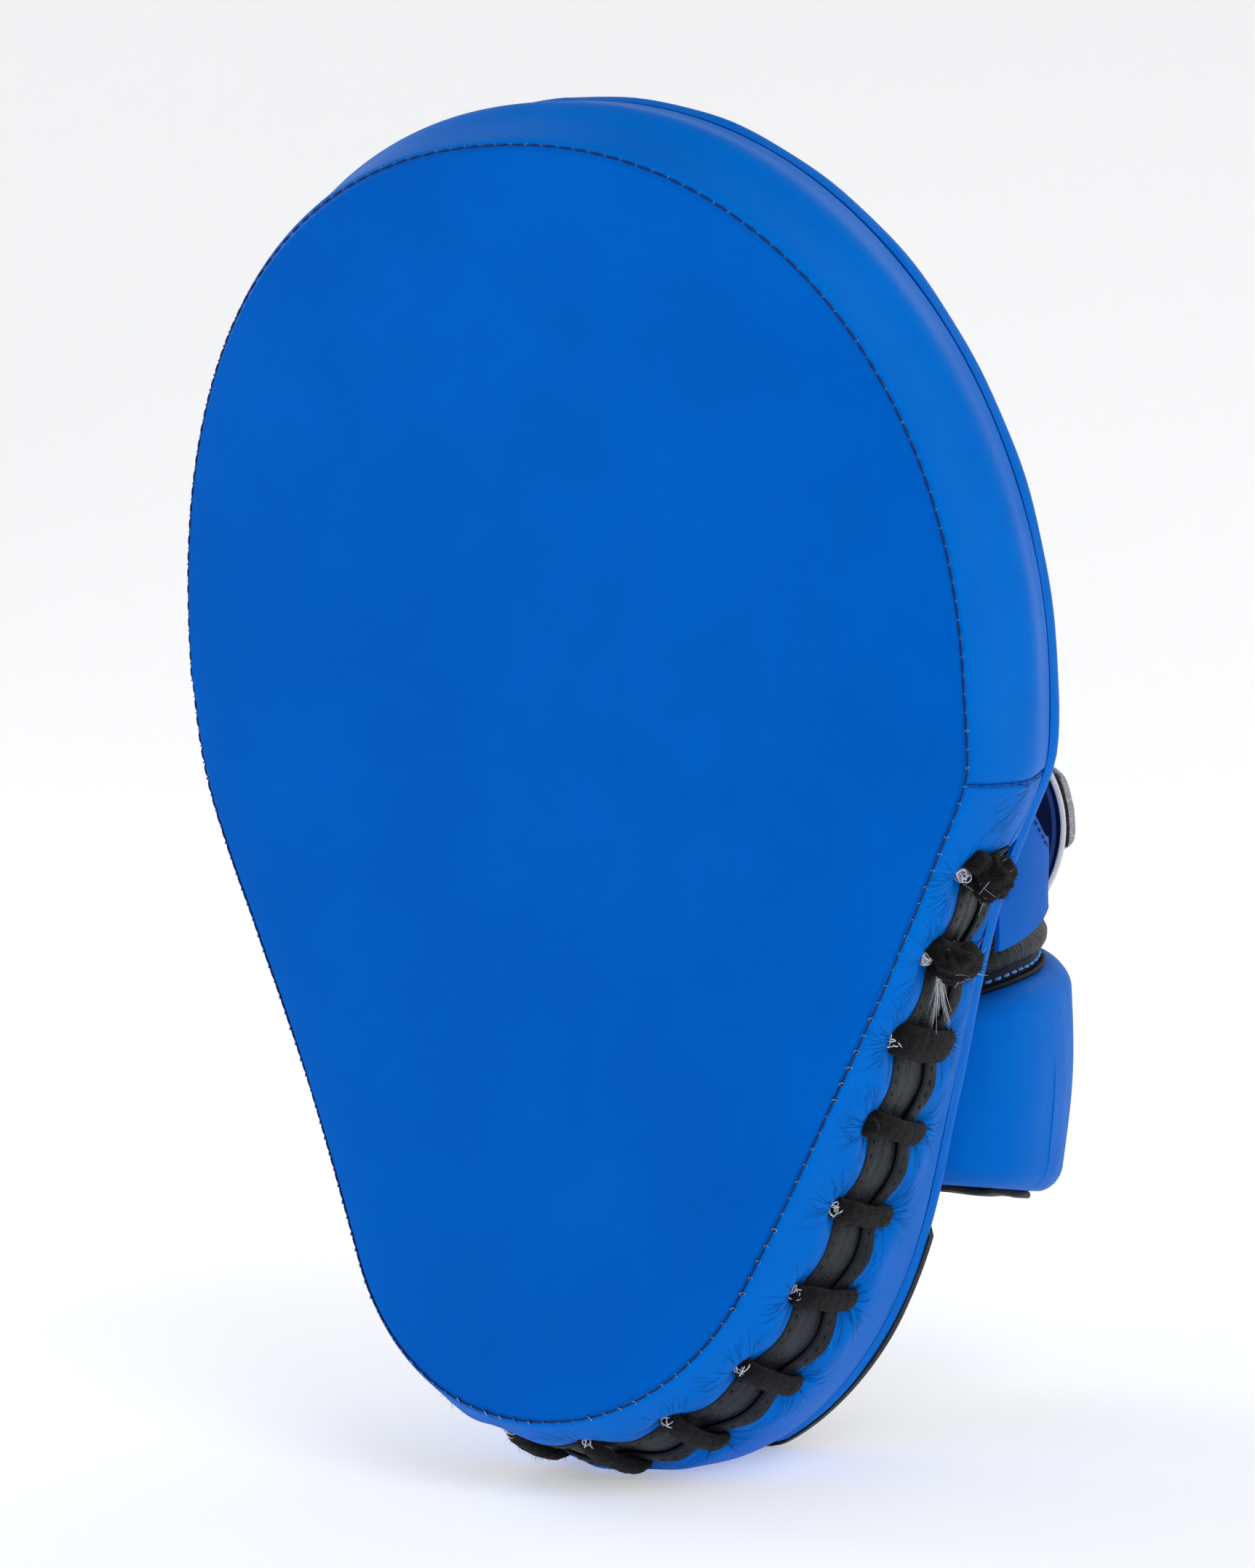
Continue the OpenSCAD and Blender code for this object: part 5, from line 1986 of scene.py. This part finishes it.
# ---------------------------------------------------------------- finger hood
@dataclass
class FingerHood:
    """Padded hood over the fingers, open at its hem."""

    pad: Pad
    shop: Workshop
    half_wide: float = 68.0
    height: float = 62.0
    length: float = 66.0
    hem: float = 2.0
    foam: float = 7.0
    cover: float = 1.4
    seam: float = 0.07

    def build(self) -> None:
        """Makes every piece of the hood."""
        self._cover()
        self._inside()
        self._hem()
        self._stitches()

    def arch(self, t: Array, a: Array, d: Array, soft: Array = 0.0) -> Array:
        """Place on the hood.

        Args:
            t: Share from the hem to the closed end.
            a: Angle over the arch, in radians.
            d: Set-in.
            soft: Extra swell of the padding.

        Returns:
            Places in metres.
        """
        wide = self.half_wide * (1 - 0.34 * t ** 2.2) - d
        swing = np.maximum(1 - np.minimum(t, 1.0) ** 2.4, 0.0) ** (1 / 2.4)
        tall = np.maximum(0.5 + 0.05 * (12 - d), self.height * swing - d)
        c, s = np.cos(a), np.sin(a)
        u = (wide + soft) * signed_power(c, 0.8)
        return self.pad.over_back(u, self.hem + self.length * t, 0.4 + (tall + soft) * np.abs(s) ** 0.8)

    def _soft(self, t: Array, a: Array) -> Array:
        """Swell and gathers of the padded cover.

        Args:
            t: Share from the hem to the closed end.
            a: Angle over the arch, in radians.

        Returns:
            The swell.
        """
        gather = 0.28 * ripple(a * 7, t * 2.5, 8.3) * (1 - ease((t - 0.35) / 0.5))
        groove = -1.5 * bump(t, self.seam, 0.022)
        return (gather + groove + 0.7 * ease(t / 0.2) * (1 - t)) * np.sin(a) ** 0.4

    def _cover(self) -> None:
        """Outer leather, gathered a little at the hem and sunk along its stitching."""
        def place(s: Array, t: Array) -> Array:
            """Place on the cover."""
            along = np.sin(t * math.pi / 2) * 0.998
            a = math.pi * np.clip(s, 0.004, 0.996)
            return self.arch(along, a, 0.0, self._soft(along, a))

        obj = grid_piece("hood_leather", 90, 60, place)
        make_sheet(obj, self.pad.over_back(np.array(0.0), np.array(20.0), np.array(5.0)), self.cover)
        self.shop.hand_over(obj, BACK_LEATHER, "hood_shell", fill=0.8)

    def _inside(self) -> None:
        """Foam and lining under the cover."""
        for name, start, thick, reach, finish, node in (
                ("hood_padding", self.cover + 1.1, self.foam - 1.1, 0.90, SOFT_FOAM, "hood_foam"),
                ("hood_inner_lining", self.cover + self.foam + 0.5, 1.0, 0.84, BLACK_LINING, "hood_lining")):
            def place(s: Array, t: Array, d: float = start, end: float = reach) -> Array:
                """Place on the layer."""
                a = math.pi * np.clip(s, 0.01, 0.99)
                return self.arch(0.02 + (end - 0.02) * np.sin(t * math.pi / 2), a, np.full_like(s, d))

            obj = grid_piece(name, 56, 30, place)
            make_sheet(obj, self.pad.over_back(np.array(0.0), np.array(20.0), np.array(5.0)), thick)
            self.shop.hand_over(obj, finish, node, fill=0.8 if finish is SOFT_FOAM else 0.0)

    def _hem(self) -> None:
        """The folded band round the hood's open edge."""
        a = np.linspace(0.03, math.pi - 0.03, 120)
        outer = self.arch(np.zeros_like(a), a, 0.0)
        inner = self.arch(np.zeros_like(a), a, np.full_like(a, 10.0))
        side = outer - inner
        side[:, 2] = 0
        side = unit(side)
        path = outer - side * (self.cover + self.foam + 1.0) / 2 * MM - np.array([0, 0, 2.4 * MM])
        path += side * (0.15 * ripple(a * 11, a * 3, 3.0) * MM)[:, None]
        obj = sweep("hood_hem_band", path, side, np.full(len(a), 2.4 * MM), np.full(len(a), 4.9 * MM),
                    sides=20)
        self.shop.hand_over(obj, BACK_LEATHER, "hood_hem", crisp=60.0)

    def _stitches(self) -> None:
        """Light blue stitches along the hem."""
        a = np.linspace(0.06, math.pi - 0.06, 400)
        at = np.full_like(a, self.seam)
        points = self.arch(at, a, 0.9, self._soft(np.full_like(a, 0.03), a))
        trail = Trail(points, unit(points - self.arch(at, a, np.full_like(a, 6.0))))
        Sewing(pitch=3.4, length=2.7, radius=0.38).along("hood_hem_stitches", trail, self.shop, LIGHT_THREAD,
                                                         "hood_thread")


# ---------------------------------------------------------------- space for the hand
@dataclass
class HandSpace:
    """Side walls, the panel over the back of the hand and the strap on it."""

    pad: Pad
    shop: Workshop
    half_wide: float = 59.0
    deep: float = 59.0
    top: float = -4.0
    low: float = -31.5
    wall_low: float = -40.0
    bulge: float = 6.0
    free_edge: float = 39.0
    sewn_edge: float = 131.0
    strap_height: float = 17.0
    strap_root: float = 140.0
    tape_drop: float = 1.0

    def build(self) -> None:
        """Makes every piece round the hand."""
        self._walls()
        self._panel()
        self._loop_patch()
        self._strap()

    def at(self, a: Array, h: Array, d: Array) -> Array:
        """Place round the hand space: angle in degrees from the thumb side, height and set-in.

        Args:
            a: Angle in degrees from the thumb side.
            h: Height.
            d: Set-in.

        Returns:
            Places in metres.
        """
        c, s = np.cos(np.radians(a)), np.sin(np.radians(a))
        share = np.clip((h - self.low) / (self.top + 4.0 - self.low), 0.0, 1.0)
        near = ease((np.asarray(a) - 27) / 9) * (1 - ease((np.asarray(a) - 42) / 24))
        d = d - self.bulge * np.sin(math.pi * share) ** 0.7 * near
        reach = np.where(c >= 0, self.half_wide + 8 - d, self.half_wide + 4 - d)
        x = reach * signed_power(c, 0.7)
        rise = (self.deep - d) * np.maximum(s, 0.0) ** 0.75
        depth = self.pad.back_depth(x + self.pad.hand_shift, np.zeros_like(x)) + 0.4 + rise
        return self.pad.at_depth(x, h, depth)

    def _sheet(self, name: str, angles: tuple[float, float], top: Callable[[Array], Array], low: float,
               set_in: float, thick: float, across: int = 18, along: int = 60,
               sag: float = 0.25, slant: float = 0.0) -> bpy.types.Object:
        """A sheet round the hand space, slightly uneven, with its thickness inward.

        Args:
            name: Name of the piece.
            angles: First and last angle, in degrees.
            top: Height of its top edge at an angle.
            low: Height of its bottom.
            set_in: Set-in of its outer face.
            thick: Thickness.
            across: Divisions across.
            along: Divisions along.
            sag: Unevenness.
            slant: Rise of the bottom for each degree.

        Returns:
            The sheet.
        """
        def place(s: Array, t: Array) -> Array:
            """Place on the sheet."""
            a = angles[0] + (angles[1] - angles[0]) * t
            foot = low + slant * a
            h = foot + (top(a) - foot) * s
            soft = sag * ripple(a / 13, h / 8, set_in + 2.0) * np.sin(math.pi * s) ** 0.5
            return self.at(a, h, set_in - soft)

        obj = grid_piece(name, across, along, place)
        make_sheet(obj, self.pad.over_back(np.array(0.0), np.array(-15.0), np.array(20.0)), thick)
        return obj

    def _level_top(self, a: Array) -> Array:
        """Level top edge of the far wall and the panel."""
        return np.full_like(a, self.top)

    def _tape_top(self, a: Array) -> Array:
        """Level top edge of the tapes, a little lower."""
        return np.full_like(a, self.top - self.tape_drop)

    def _thumb_top(self, a: Array) -> Array:
        """Slanting top edge of the thumb wall."""
        return self.top - 3.0 - 10.0 * ease((a - 4) / 20)

    def _trail(self, a: Array, h: Array, set_in: float, outer: float) -> Trail:
        """Line on a piece round the hand: its set-in, and another that is further out."""
        points = self.at(a, h, np.full_like(a, set_in))
        return Trail(points, unit(self.at(a, h, np.full_like(a, outer)) - points))

    def _walls(self) -> None:
        """The thumb wall with its slanting stitched edge, and the wall on the far side."""
        obj = self._sheet("thumb_side_wall", (0.6, 25.8), self._thumb_top, self.wall_low, -1.9, 1.8,
                          slant=0.33)
        self.shop.hand_over(obj, WALL_LEATHER, "thumb_wall")
        obj = self._sheet("far_side_wall", (130.6, 177.5), self._level_top, self.low, 0.35, 1.8)
        self.shop.hand_over(obj, WALL_LEATHER, "outer_wall")
        a = np.linspace(4.0, 24.6, 200)
        Sewing(pitch=2.9, length=2.3, radius=0.3).along(
            "wall_stitches", self._trail(a, self._thumb_top(a) - 1.8, -2.15, -3.0), self.shop, NAVY_THREAD,
            "wall_thread")

    def _panel(self) -> None:
        """Panel over the back of the hand: leather, lining and the pale raw cut edge."""
        obj = self._sheet("hand_back_panel", (self.free_edge, self.sewn_edge), self._level_top, self.low,
                          0.0, 1.5, along=90)
        self.shop.hand_over(obj, WALL_LEATHER, "hand_panel")
        obj = self._sheet("hand_back_lining", (self.free_edge + 0.3, self.sewn_edge), self._level_top,
                          self.low, 1.7, 0.9, along=90)
        self.shop.hand_over(obj, BLUE_LINING, "panel_lining")
        h = np.linspace(self.low - 0.4, self.top + 0.6, 70)
        wave = 0.28 * ripple(h / 3.0, h / 2.0, 1.2)
        path = self.at(self.free_edge - 0.15 + wave * 0.3, h, np.full_like(h, 0.5))
        side = unit(self.at(self.free_edge - 2 + 0 * h, h, np.full_like(h, 0.9)) - path)
        obj = sweep("raw_panel_edge", path, side, (0.6 + 0.1 * wave) * MM, (0.3 + 0.12 * wave) * MM)
        self.shop.hand_over(obj, RAW_EDGE, crisp=70.0)

    def _tufts(self, name: str, angles: tuple[float, float], heights: tuple[float, float], set_in: float,
               away: float, count: int, size: float, finish: Finish, body: str, seed: int) -> None:
        """Short pile that stands off a strip of hook-and-loop tape.

        Args:
            name: Name of the piece.
            angles: First and last angle, in degrees.
            heights: Lowest and highest root.
            set_in: Set-in of its outer face.
            away: How strongly the pile stands outward.
            count: Number of tufts.
            size: Length of the pile.
            finish: Its finish.
            body: Body that it rides on.
            seed: Seed of the pattern.
        """
        rng = np.random.default_rng(seed)
        a, h = rng.uniform(*angles, count), rng.uniform(*heights, count)
        roots = self.at(a, h, np.full(count, set_in))
        out = unit(self.at(a, h, np.full(count, set_in - 1.0)) - roots) * away
        ways = unit(out + 0.6 * rng.normal(size=(count, 3)))
        lengths = rng.uniform(0.6, 1.15, count) * size * MM
        obj = fibres(name, fibre_model(0.7), roots, ways, lengths, 0.05 * MM, seed)
        self.shop.hand_over(obj, finish, body=body)

    def _loop_patch(self) -> None:
        """Loop tape on the panel, with its pile."""
        low = self.top - self.strap_height + 1
        obj = self._sheet("panel_loop_tape", (self.free_edge + 0.6, 124.0), self._tape_top, low, -0.9, 0.7,
                          along=80, sag=0.0)
        self.shop.hand_over(obj, PILE, "loop_patch")
        self._tufts("panel_loop_pile", (self.free_edge + 0.8, 123.0), (low + 0.4, self.top - 1.4), -0.85, 1.0,
                    1500, 0.75, PILE, MITT, 31)

    def _strap(self) -> None:
        """Suede strap with hook tape inside, sewn down at its root."""
        low, top = self.top - self.strap_height, self.top
        end, root = self.free_edge + 6.0, self.strap_root

        def place(s: Array, t: Array) -> Array:
            """Place on the strap, round its section and along it."""
            a = end + (root - end) * t
            flat, body = squared_circle(s, 0.35, 0.6)
            tip = np.minimum(1.0, np.sqrt(np.clip((t + 0.004) / 0.035, 0, 1)))
            root_thin = 1 - 0.65 * ease((t - 0.93) / 0.07)
            h = (low + top) / 2 + (top - low) / 2 * flat * (0.72 + 0.28 * tip)
            d = -3.2 + 0.12 * ripple(a / 9, h / 5, 4.4) * root_thin
            d = d + 1.05 * root_thin * body * (0.35 + 0.65 * tip)
            return self.at(a, h, d)

        obj = grid_piece("hand_strap_suede", 28, 110, place, closed=True)
        self.shop.hand_over(obj, SUEDE, "hand_strap", body=STRAP, crisp=50.0)
        tape = self._sheet("strap_hook_tape", (self.free_edge + 7.0, 94.0), self._tape_top, low + 1,
                           -2.0, 0.6, along=60, sag=0.0)
        self.shop.hand_over(tape, PILE, "strap_hook", body=STRAP)
        for row, h in enumerate((low + 1.6, top - 1.6)):
            a = np.linspace(end + 1.5, root - 7, 300)
            Sewing(pitch=3.0, length=2.3, radius=0.24).along(
                f"strap_stitches_{row + 1}", self._trail(a, np.full_like(a, h), -4.28, -5.2), self.shop,
                BLACK_THREAD, body=STRAP)


# ---------------------------------------------------------------- wrist cuff
@dataclass
class WristCuff:
    """Padded cuff round the wrist, with a rolled top edge."""

    pad: Pad
    shop: Workshop
    half_wide: float = 59.0
    half_deep: float = 38.5
    top: float = -46.5
    bottom: float = -90.0
    rise: float = 18.0
    wall: float = 11.8
    roll: float = 5.2
    around: int = 260

    def build(self) -> None:
        """Makes every piece of the cuff."""
        self._cover()
        self._inside()
        self._roll()
        self._band()
        self._hem()
        self._stitches()

    def top_at(self, a: Array) -> Array:
        """Height of the top edge at an angle, lower in front."""
        return self.top + self.rise / 2 * np.sin(a)

    def at(self, a: Array, h: Array, d: Array) -> Array:
        """Place round the cuff: angle in radians from the thumb side, height and set-in.

        Args:
            a: Angle in radians from the thumb side.
            h: Height.
            d: Set-in.

        Returns:
            Places in metres.
        """
        share = (h - self.bottom) / (self.top - self.bottom)
        c, s = np.cos(a), np.sin(a)
        x = (self.half_wide - d) * (0.96 + 0.04 * share) * signed_power(c, 0.86)
        y = (self.half_deep - d) * signed_power(s, 0.86)
        y = y * np.where(s > 0, 0.82 + 0.18 * share, 1.0)
        depth = self.pad.back_depth(np.full_like(x, self.pad.hand_shift), self.pad.hand_v(h))
        return self.pad.at_depth(x, h, depth + self.half_deep + 0.6 + y)

    def out_at(self, a: Array, h: Array) -> Array:
        """Outward direction there."""
        return unit(self.at(a, h, np.full_like(a, -1.0)) - self.at(a, h, np.zeros_like(a)))

    def _cover(self) -> None:
        """The leather cover, rolled over the padding at both ends."""
        corner, tuck = 6.2, 7.4

        def place(s: Array, t: Array) -> Array:
            """Place on the cover, from inside its top edge to inside its bottom edge."""
            a = TURN * t
            top = self.top_at(a)
            turn = np.clip(s / 0.26, 0, 1) * math.pi / 2
            back = np.clip((s - 0.74) / 0.26, 0, 1) * math.pi / 2
            middle = np.clip((s - 0.26) / 0.48, 0, 1)
            d = np.where(s > 0.74, corner * (1 - np.cos(back)), 0.0)
            d = np.where(s < 0.26, corner * (1 - np.sin(turn)), d)
            d = np.where((s < 0.02) | (s > 0.98), tuck, d)
            h = np.where(s < 0.26, top - corner + corner * np.cos(turn),
                         np.where(s > 0.74, self.bottom + corner - corner * np.sin(back),
                                  top - corner + (self.bottom - top + 2 * corner) * middle))
            soft = 0.9 * np.sin(math.pi * middle) * (s > 0.26) * (s < 0.74)
            gather = 0.22 * ripple(a * 9, h / 14, 9.2) + 0.12 * ripple(a * 22, h / 25, 2.2)
            return self.at(a, h, d - soft - gather * np.sin(math.pi * s) ** 0.5)

        obj = grid_piece("cuff_leather", 54, self.around, place, merged=True)
        two = np.array([0.0, math.pi])
        make_sheet(obj, self.at(two, np.full_like(two, -66.0), np.zeros_like(two)).mean(0), 1.3)
        self.shop.hand_over(obj, CUFF_LEATHER, "cuff_shell", fill=0.8)

    def _loop(self, name: str, section: Callable[[Array, Array], tuple[Array, Array]], sides: int,
              finish: Finish, node: str, fill: float = 0.0, crisp: float = 50.0) -> None:
        """A closed section carried round the cuff.

        Args:
            name: Name of the piece.
            section: Gives height and set-in from the share round the section and the angle.
            sides: Points round the section.
            finish: Its finish.
            node: CAD node that it stands for.
            fill: How full it is, for padding.
            crisp: Angle above which an edge stays sharp.
        """
        def place(s: Array, t: Array) -> Array:
            """Place on the section."""
            a = TURN * t
            h, d = section(s, a)
            return self.at(a, h, d)

        obj = grid_piece(name, sides, self.around, place, merged=True)
        edit_all(point_outwards)
        self.shop.hand_over(obj, finish, node, fill=fill, crisp=crisp)

    def _inside(self) -> None:
        """Padding and lining."""
        padding = partial(self._box, self.bottom + 2.0, -2.0, 2.6, self.wall - 2.0, 0.45)
        self._loop("cuff_padding", padding, 24, SOFT_FOAM, "cuff_foam", fill=0.8)
        lining = partial(self._box, self.bottom + 0.5, 1.0, self.wall - 1.6, self.wall, 0.2)
        self._loop("cuff_inner_lining", lining, 24, BLACK_LINING, "cuff_lining")

    def _box(self, low: float, rise: float, start: float, end: float, soft: float, s: Array,
             a: Array) -> tuple[Array, Array]:
        """Section of the padding or the lining.

        Args:
            low: Height of its bottom.
            rise: How far it passes the cuff's top edge.
            start: Set-in of its outer face.
            end: Set-in of its inner face.
            soft: Power that squares it up.
            s: Share round the section.
            a: Angle round the cuff, in radians.

        Returns:
            Height and set-in.
        """
        top = self.top_at(a) + rise
        x, y = squared_circle(s, soft, soft)
        return (top + low) / 2 + (top - low) / 2 * y, (start + end) / 2 + (end - start) / 2 * x

    def _roll(self) -> None:
        """The rolled black edge, slightly wrinkled across."""
        a = np.linspace(0, 2 * math.pi, self.around, endpoint=False)
        h = self.top_at(a) + 3.2 + self.roll / 2
        path = self.at(a, h, np.full_like(a, self.wall - 4.0))
        fold = 1 + 0.035 * ripple(a * 60, a * 23, 2.4)
        half = self.roll / 2 * fold * MM
        obj = sweep("cuff_rolled_edge", path, self.out_at(a, h), half, half, sides=22, loop=True)
        self.shop.hand_over(obj, BLACK_LEATHER, "cuff_roll", crisp=70.0)

    def _band(self) -> None:
        """The flat black band under the roll, and its thin edge."""
        def section(s: Array, a: Array) -> tuple[Array, Array]:
            """Height and set-in round the band."""
            x, y = squared_circle(s, 0.4, 0.4)
            return self.top_at(a) + 1.9 + 1.9 * y + 0.12 * ripple(a * 14, a * 5, 1.0), 8.2 + 1.3 * x

        self._loop("cuff_flat_band", section, 20, BLACK_EDGE, "cuff_band")
        a = np.linspace(0, 2 * math.pi, self.around, endpoint=False)
        h = self.top_at(a) + 0.4 + 0.15 * ripple(a * 12, a * 4, 4.0)
        path = self.at(a, h, np.full_like(a, 6.1))
        thin = np.full(len(a), 0.62 * MM)
        obj = sweep("cuff_thin_edge", path, self.out_at(a, h), thin, thin, sides=10, loop=True)
        self.shop.hand_over(obj, BLACK_EDGE, crisp=70.0)

    def _hem(self) -> None:
        """The wavy black edge at the bottom."""
        def section(s: Array, a: Array) -> tuple[Array, Array]:
            """Height and set-in round the edge."""
            wave = 0.5 * ripple(a * 8, a * 3, 6.0)
            x, y = squared_circle(s, 0.5, 0.5)
            return self.bottom - 0.5 + wave + (0.75 + 0.2 * wave) * y, 9.3 + 2.3 * x + 0.5 * wave

        self._loop("cuff_bottom_edge", section, 20, BLACK_EDGE, "cuff_hem")

    def _stitches(self) -> None:
        """Light blue stitches along the band."""
        a = np.linspace(0, 2 * math.pi, 1200)
        h = self.top_at(a) + 1.9
        trail = Trail(self.at(a, h, np.full_like(a, 6.75)), self.out_at(a, h))
        Sewing(pitch=2.7, length=2.2, radius=0.34).along("cuff_stitches", trail, self.shop, LIGHT_THREAD,
                                                         "cuff_thread")


# ---------------------------------------------------------------- studio
@dataclass
class Lamp:
    """One soft area light aimed at the mitt."""

    name: str
    place: tuple[float, float, float]
    size: float
    power: float
    colour: Colour = (1.0, 1.0, 1.0)

    def put_up(self, aim: Vector) -> None:
        """Adds the light.

        Args:
            aim: What the light points at.
        """
        data = bpy.data.lights.new(self.name, "AREA")
        data.shape = "DISK"
        data.size = self.size
        data.energy = self.power
        data.color = self.colour
        obj = bpy.data.objects.new(self.name, data)
        obj.location = self.place
        obj.rotation_euler = (aim - Vector(self.place)).to_track_quat("-Z", "Y").to_euler()
        bpy.context.scene.collection.objects.link(obj)


@dataclass
class Studio:
    """Pale floor that sweeps up all round, soft light and the camera."""

    shop: Workshop
    yaw: float = 32.0
    pitch: float = 4.08
    roll: float = -2.04
    distance: float = 0.8682
    lens: float = 100.0
    film: float = 36.0
    flat: float = 1.5
    reach: float = 4.0
    climb: float = 3.0
    drop: float = 0.0002
    aim_height: float = 0.14
    glow: float = 0.27
    shift: float = 0.01387
    sink: float = 0.00038
    lamps: tuple[Lamp, ...] = (
        Lamp("key_light", (1.3, -0.9, 1.5), 1.3, 10.2),
        Lamp("front_light", (-0.5, -1.9, 0.8), 1.6, 3.8),
        Lamp("far_rim_light", (-1.5, 0.3, 0.9), 0.9, 7.0),
        Lamp("back_light", (0.4, 1.6, 1.2), 1.4, 5.0),
    )

    def build(self) -> None:
        """Sets up the whole studio."""
        self._floor()
        aim = Vector((0.0, 0.0, self.aim_height))
        for lamp in self.lamps:
            lamp.put_up(aim)
        self._sky()
        self._camera()
        bpy.context.scene.view_settings.view_transform = "Standard"

    def _floor(self) -> None:
        """A floor whose rim rises far from the object."""
        def place(s: Array, t: Array) -> Array:
            """Place on the floor."""
            far = s * self.reach
            a = TURN * t
            rise = np.clip((far - self.flat) / (self.reach - self.flat), 0, 1) ** 2 * self.climb
            return np.stack([far * np.cos(a), far * np.sin(a), rise - self.drop], -1)

        obj = grid_piece("studio_floor", 60, 96, place, merged=True)
        edit_all(drop_slivers)
        face_from(obj, np.array([0.0, 0.0, -50.0]))
        smooth(obj, 60.0)
        self.shop.dress(obj, Paper())

    def _sky(self) -> None:
        """Even pale light from everywhere."""
        world = bpy.data.worlds.new("studio_light")
        bpy.context.scene.world = world
        world.use_nodes = True
        back = world.node_tree.nodes["Background"]
        back.inputs["Color"].default_value = (0.93, 0.95, 1.0, 1.0)
        back.inputs["Strength"].default_value = self.glow

    def _camera(self) -> None:
        """The camera, from the mitt's own frame: yaw, pitch and roll about the pad's front."""
        yaw, pitch, roll = (math.radians(x) for x in (self.yaw, self.pitch, self.roll))
        back = Vector((math.sin(yaw) * math.cos(pitch), -math.cos(yaw) * math.cos(pitch), math.sin(pitch)))
        right = (-back).cross(Vector((0, 0, 1))).normalized()
        up = right.cross(-back)
        side = right * math.cos(roll) + up * math.sin(roll)
        top = -right * math.sin(roll) + up * math.cos(roll)
        aim = Vector((0.0, PAD.middle_y * MM, -PAD.foot * MM))
        place = aim + side * self.shift - top * self.sink + back * self.distance
        data = bpy.data.cameras.new("camera")
        data.lens = self.lens
        data.sensor_fit = "VERTICAL"
        data.sensor_height = self.film
        data.clip_start = 0.02
        camera = bpy.data.objects.new("camera", data)
        camera.matrix_world = Matrix((
            (side.x, top.x, back.x, place.x), (side.y, top.y, back.y, place.y),
            (side.z, top.z, back.z, place.z), (0, 0, 0, 1)))
        bpy.context.scene.collection.objects.link(camera)
        bpy.context.scene.camera = camera


def main() -> None:
    """Builds the mitt and its studio."""
    logging.basicConfig(level=logging.INFO, format="%(message)s")
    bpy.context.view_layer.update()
    shop = Workshop()
    Studio(shop).build()
    for part in (StrikingSide(PAD, shop), Lacing(PAD, shop), FoamStack(PAD, shop), BackOfPad(PAD, shop),
                 FingerHood(PAD, shop), HandSpace(PAD, shop), WristCuff(PAD, shop)):
        part.build()


if __name__ == "__main__":
    main()
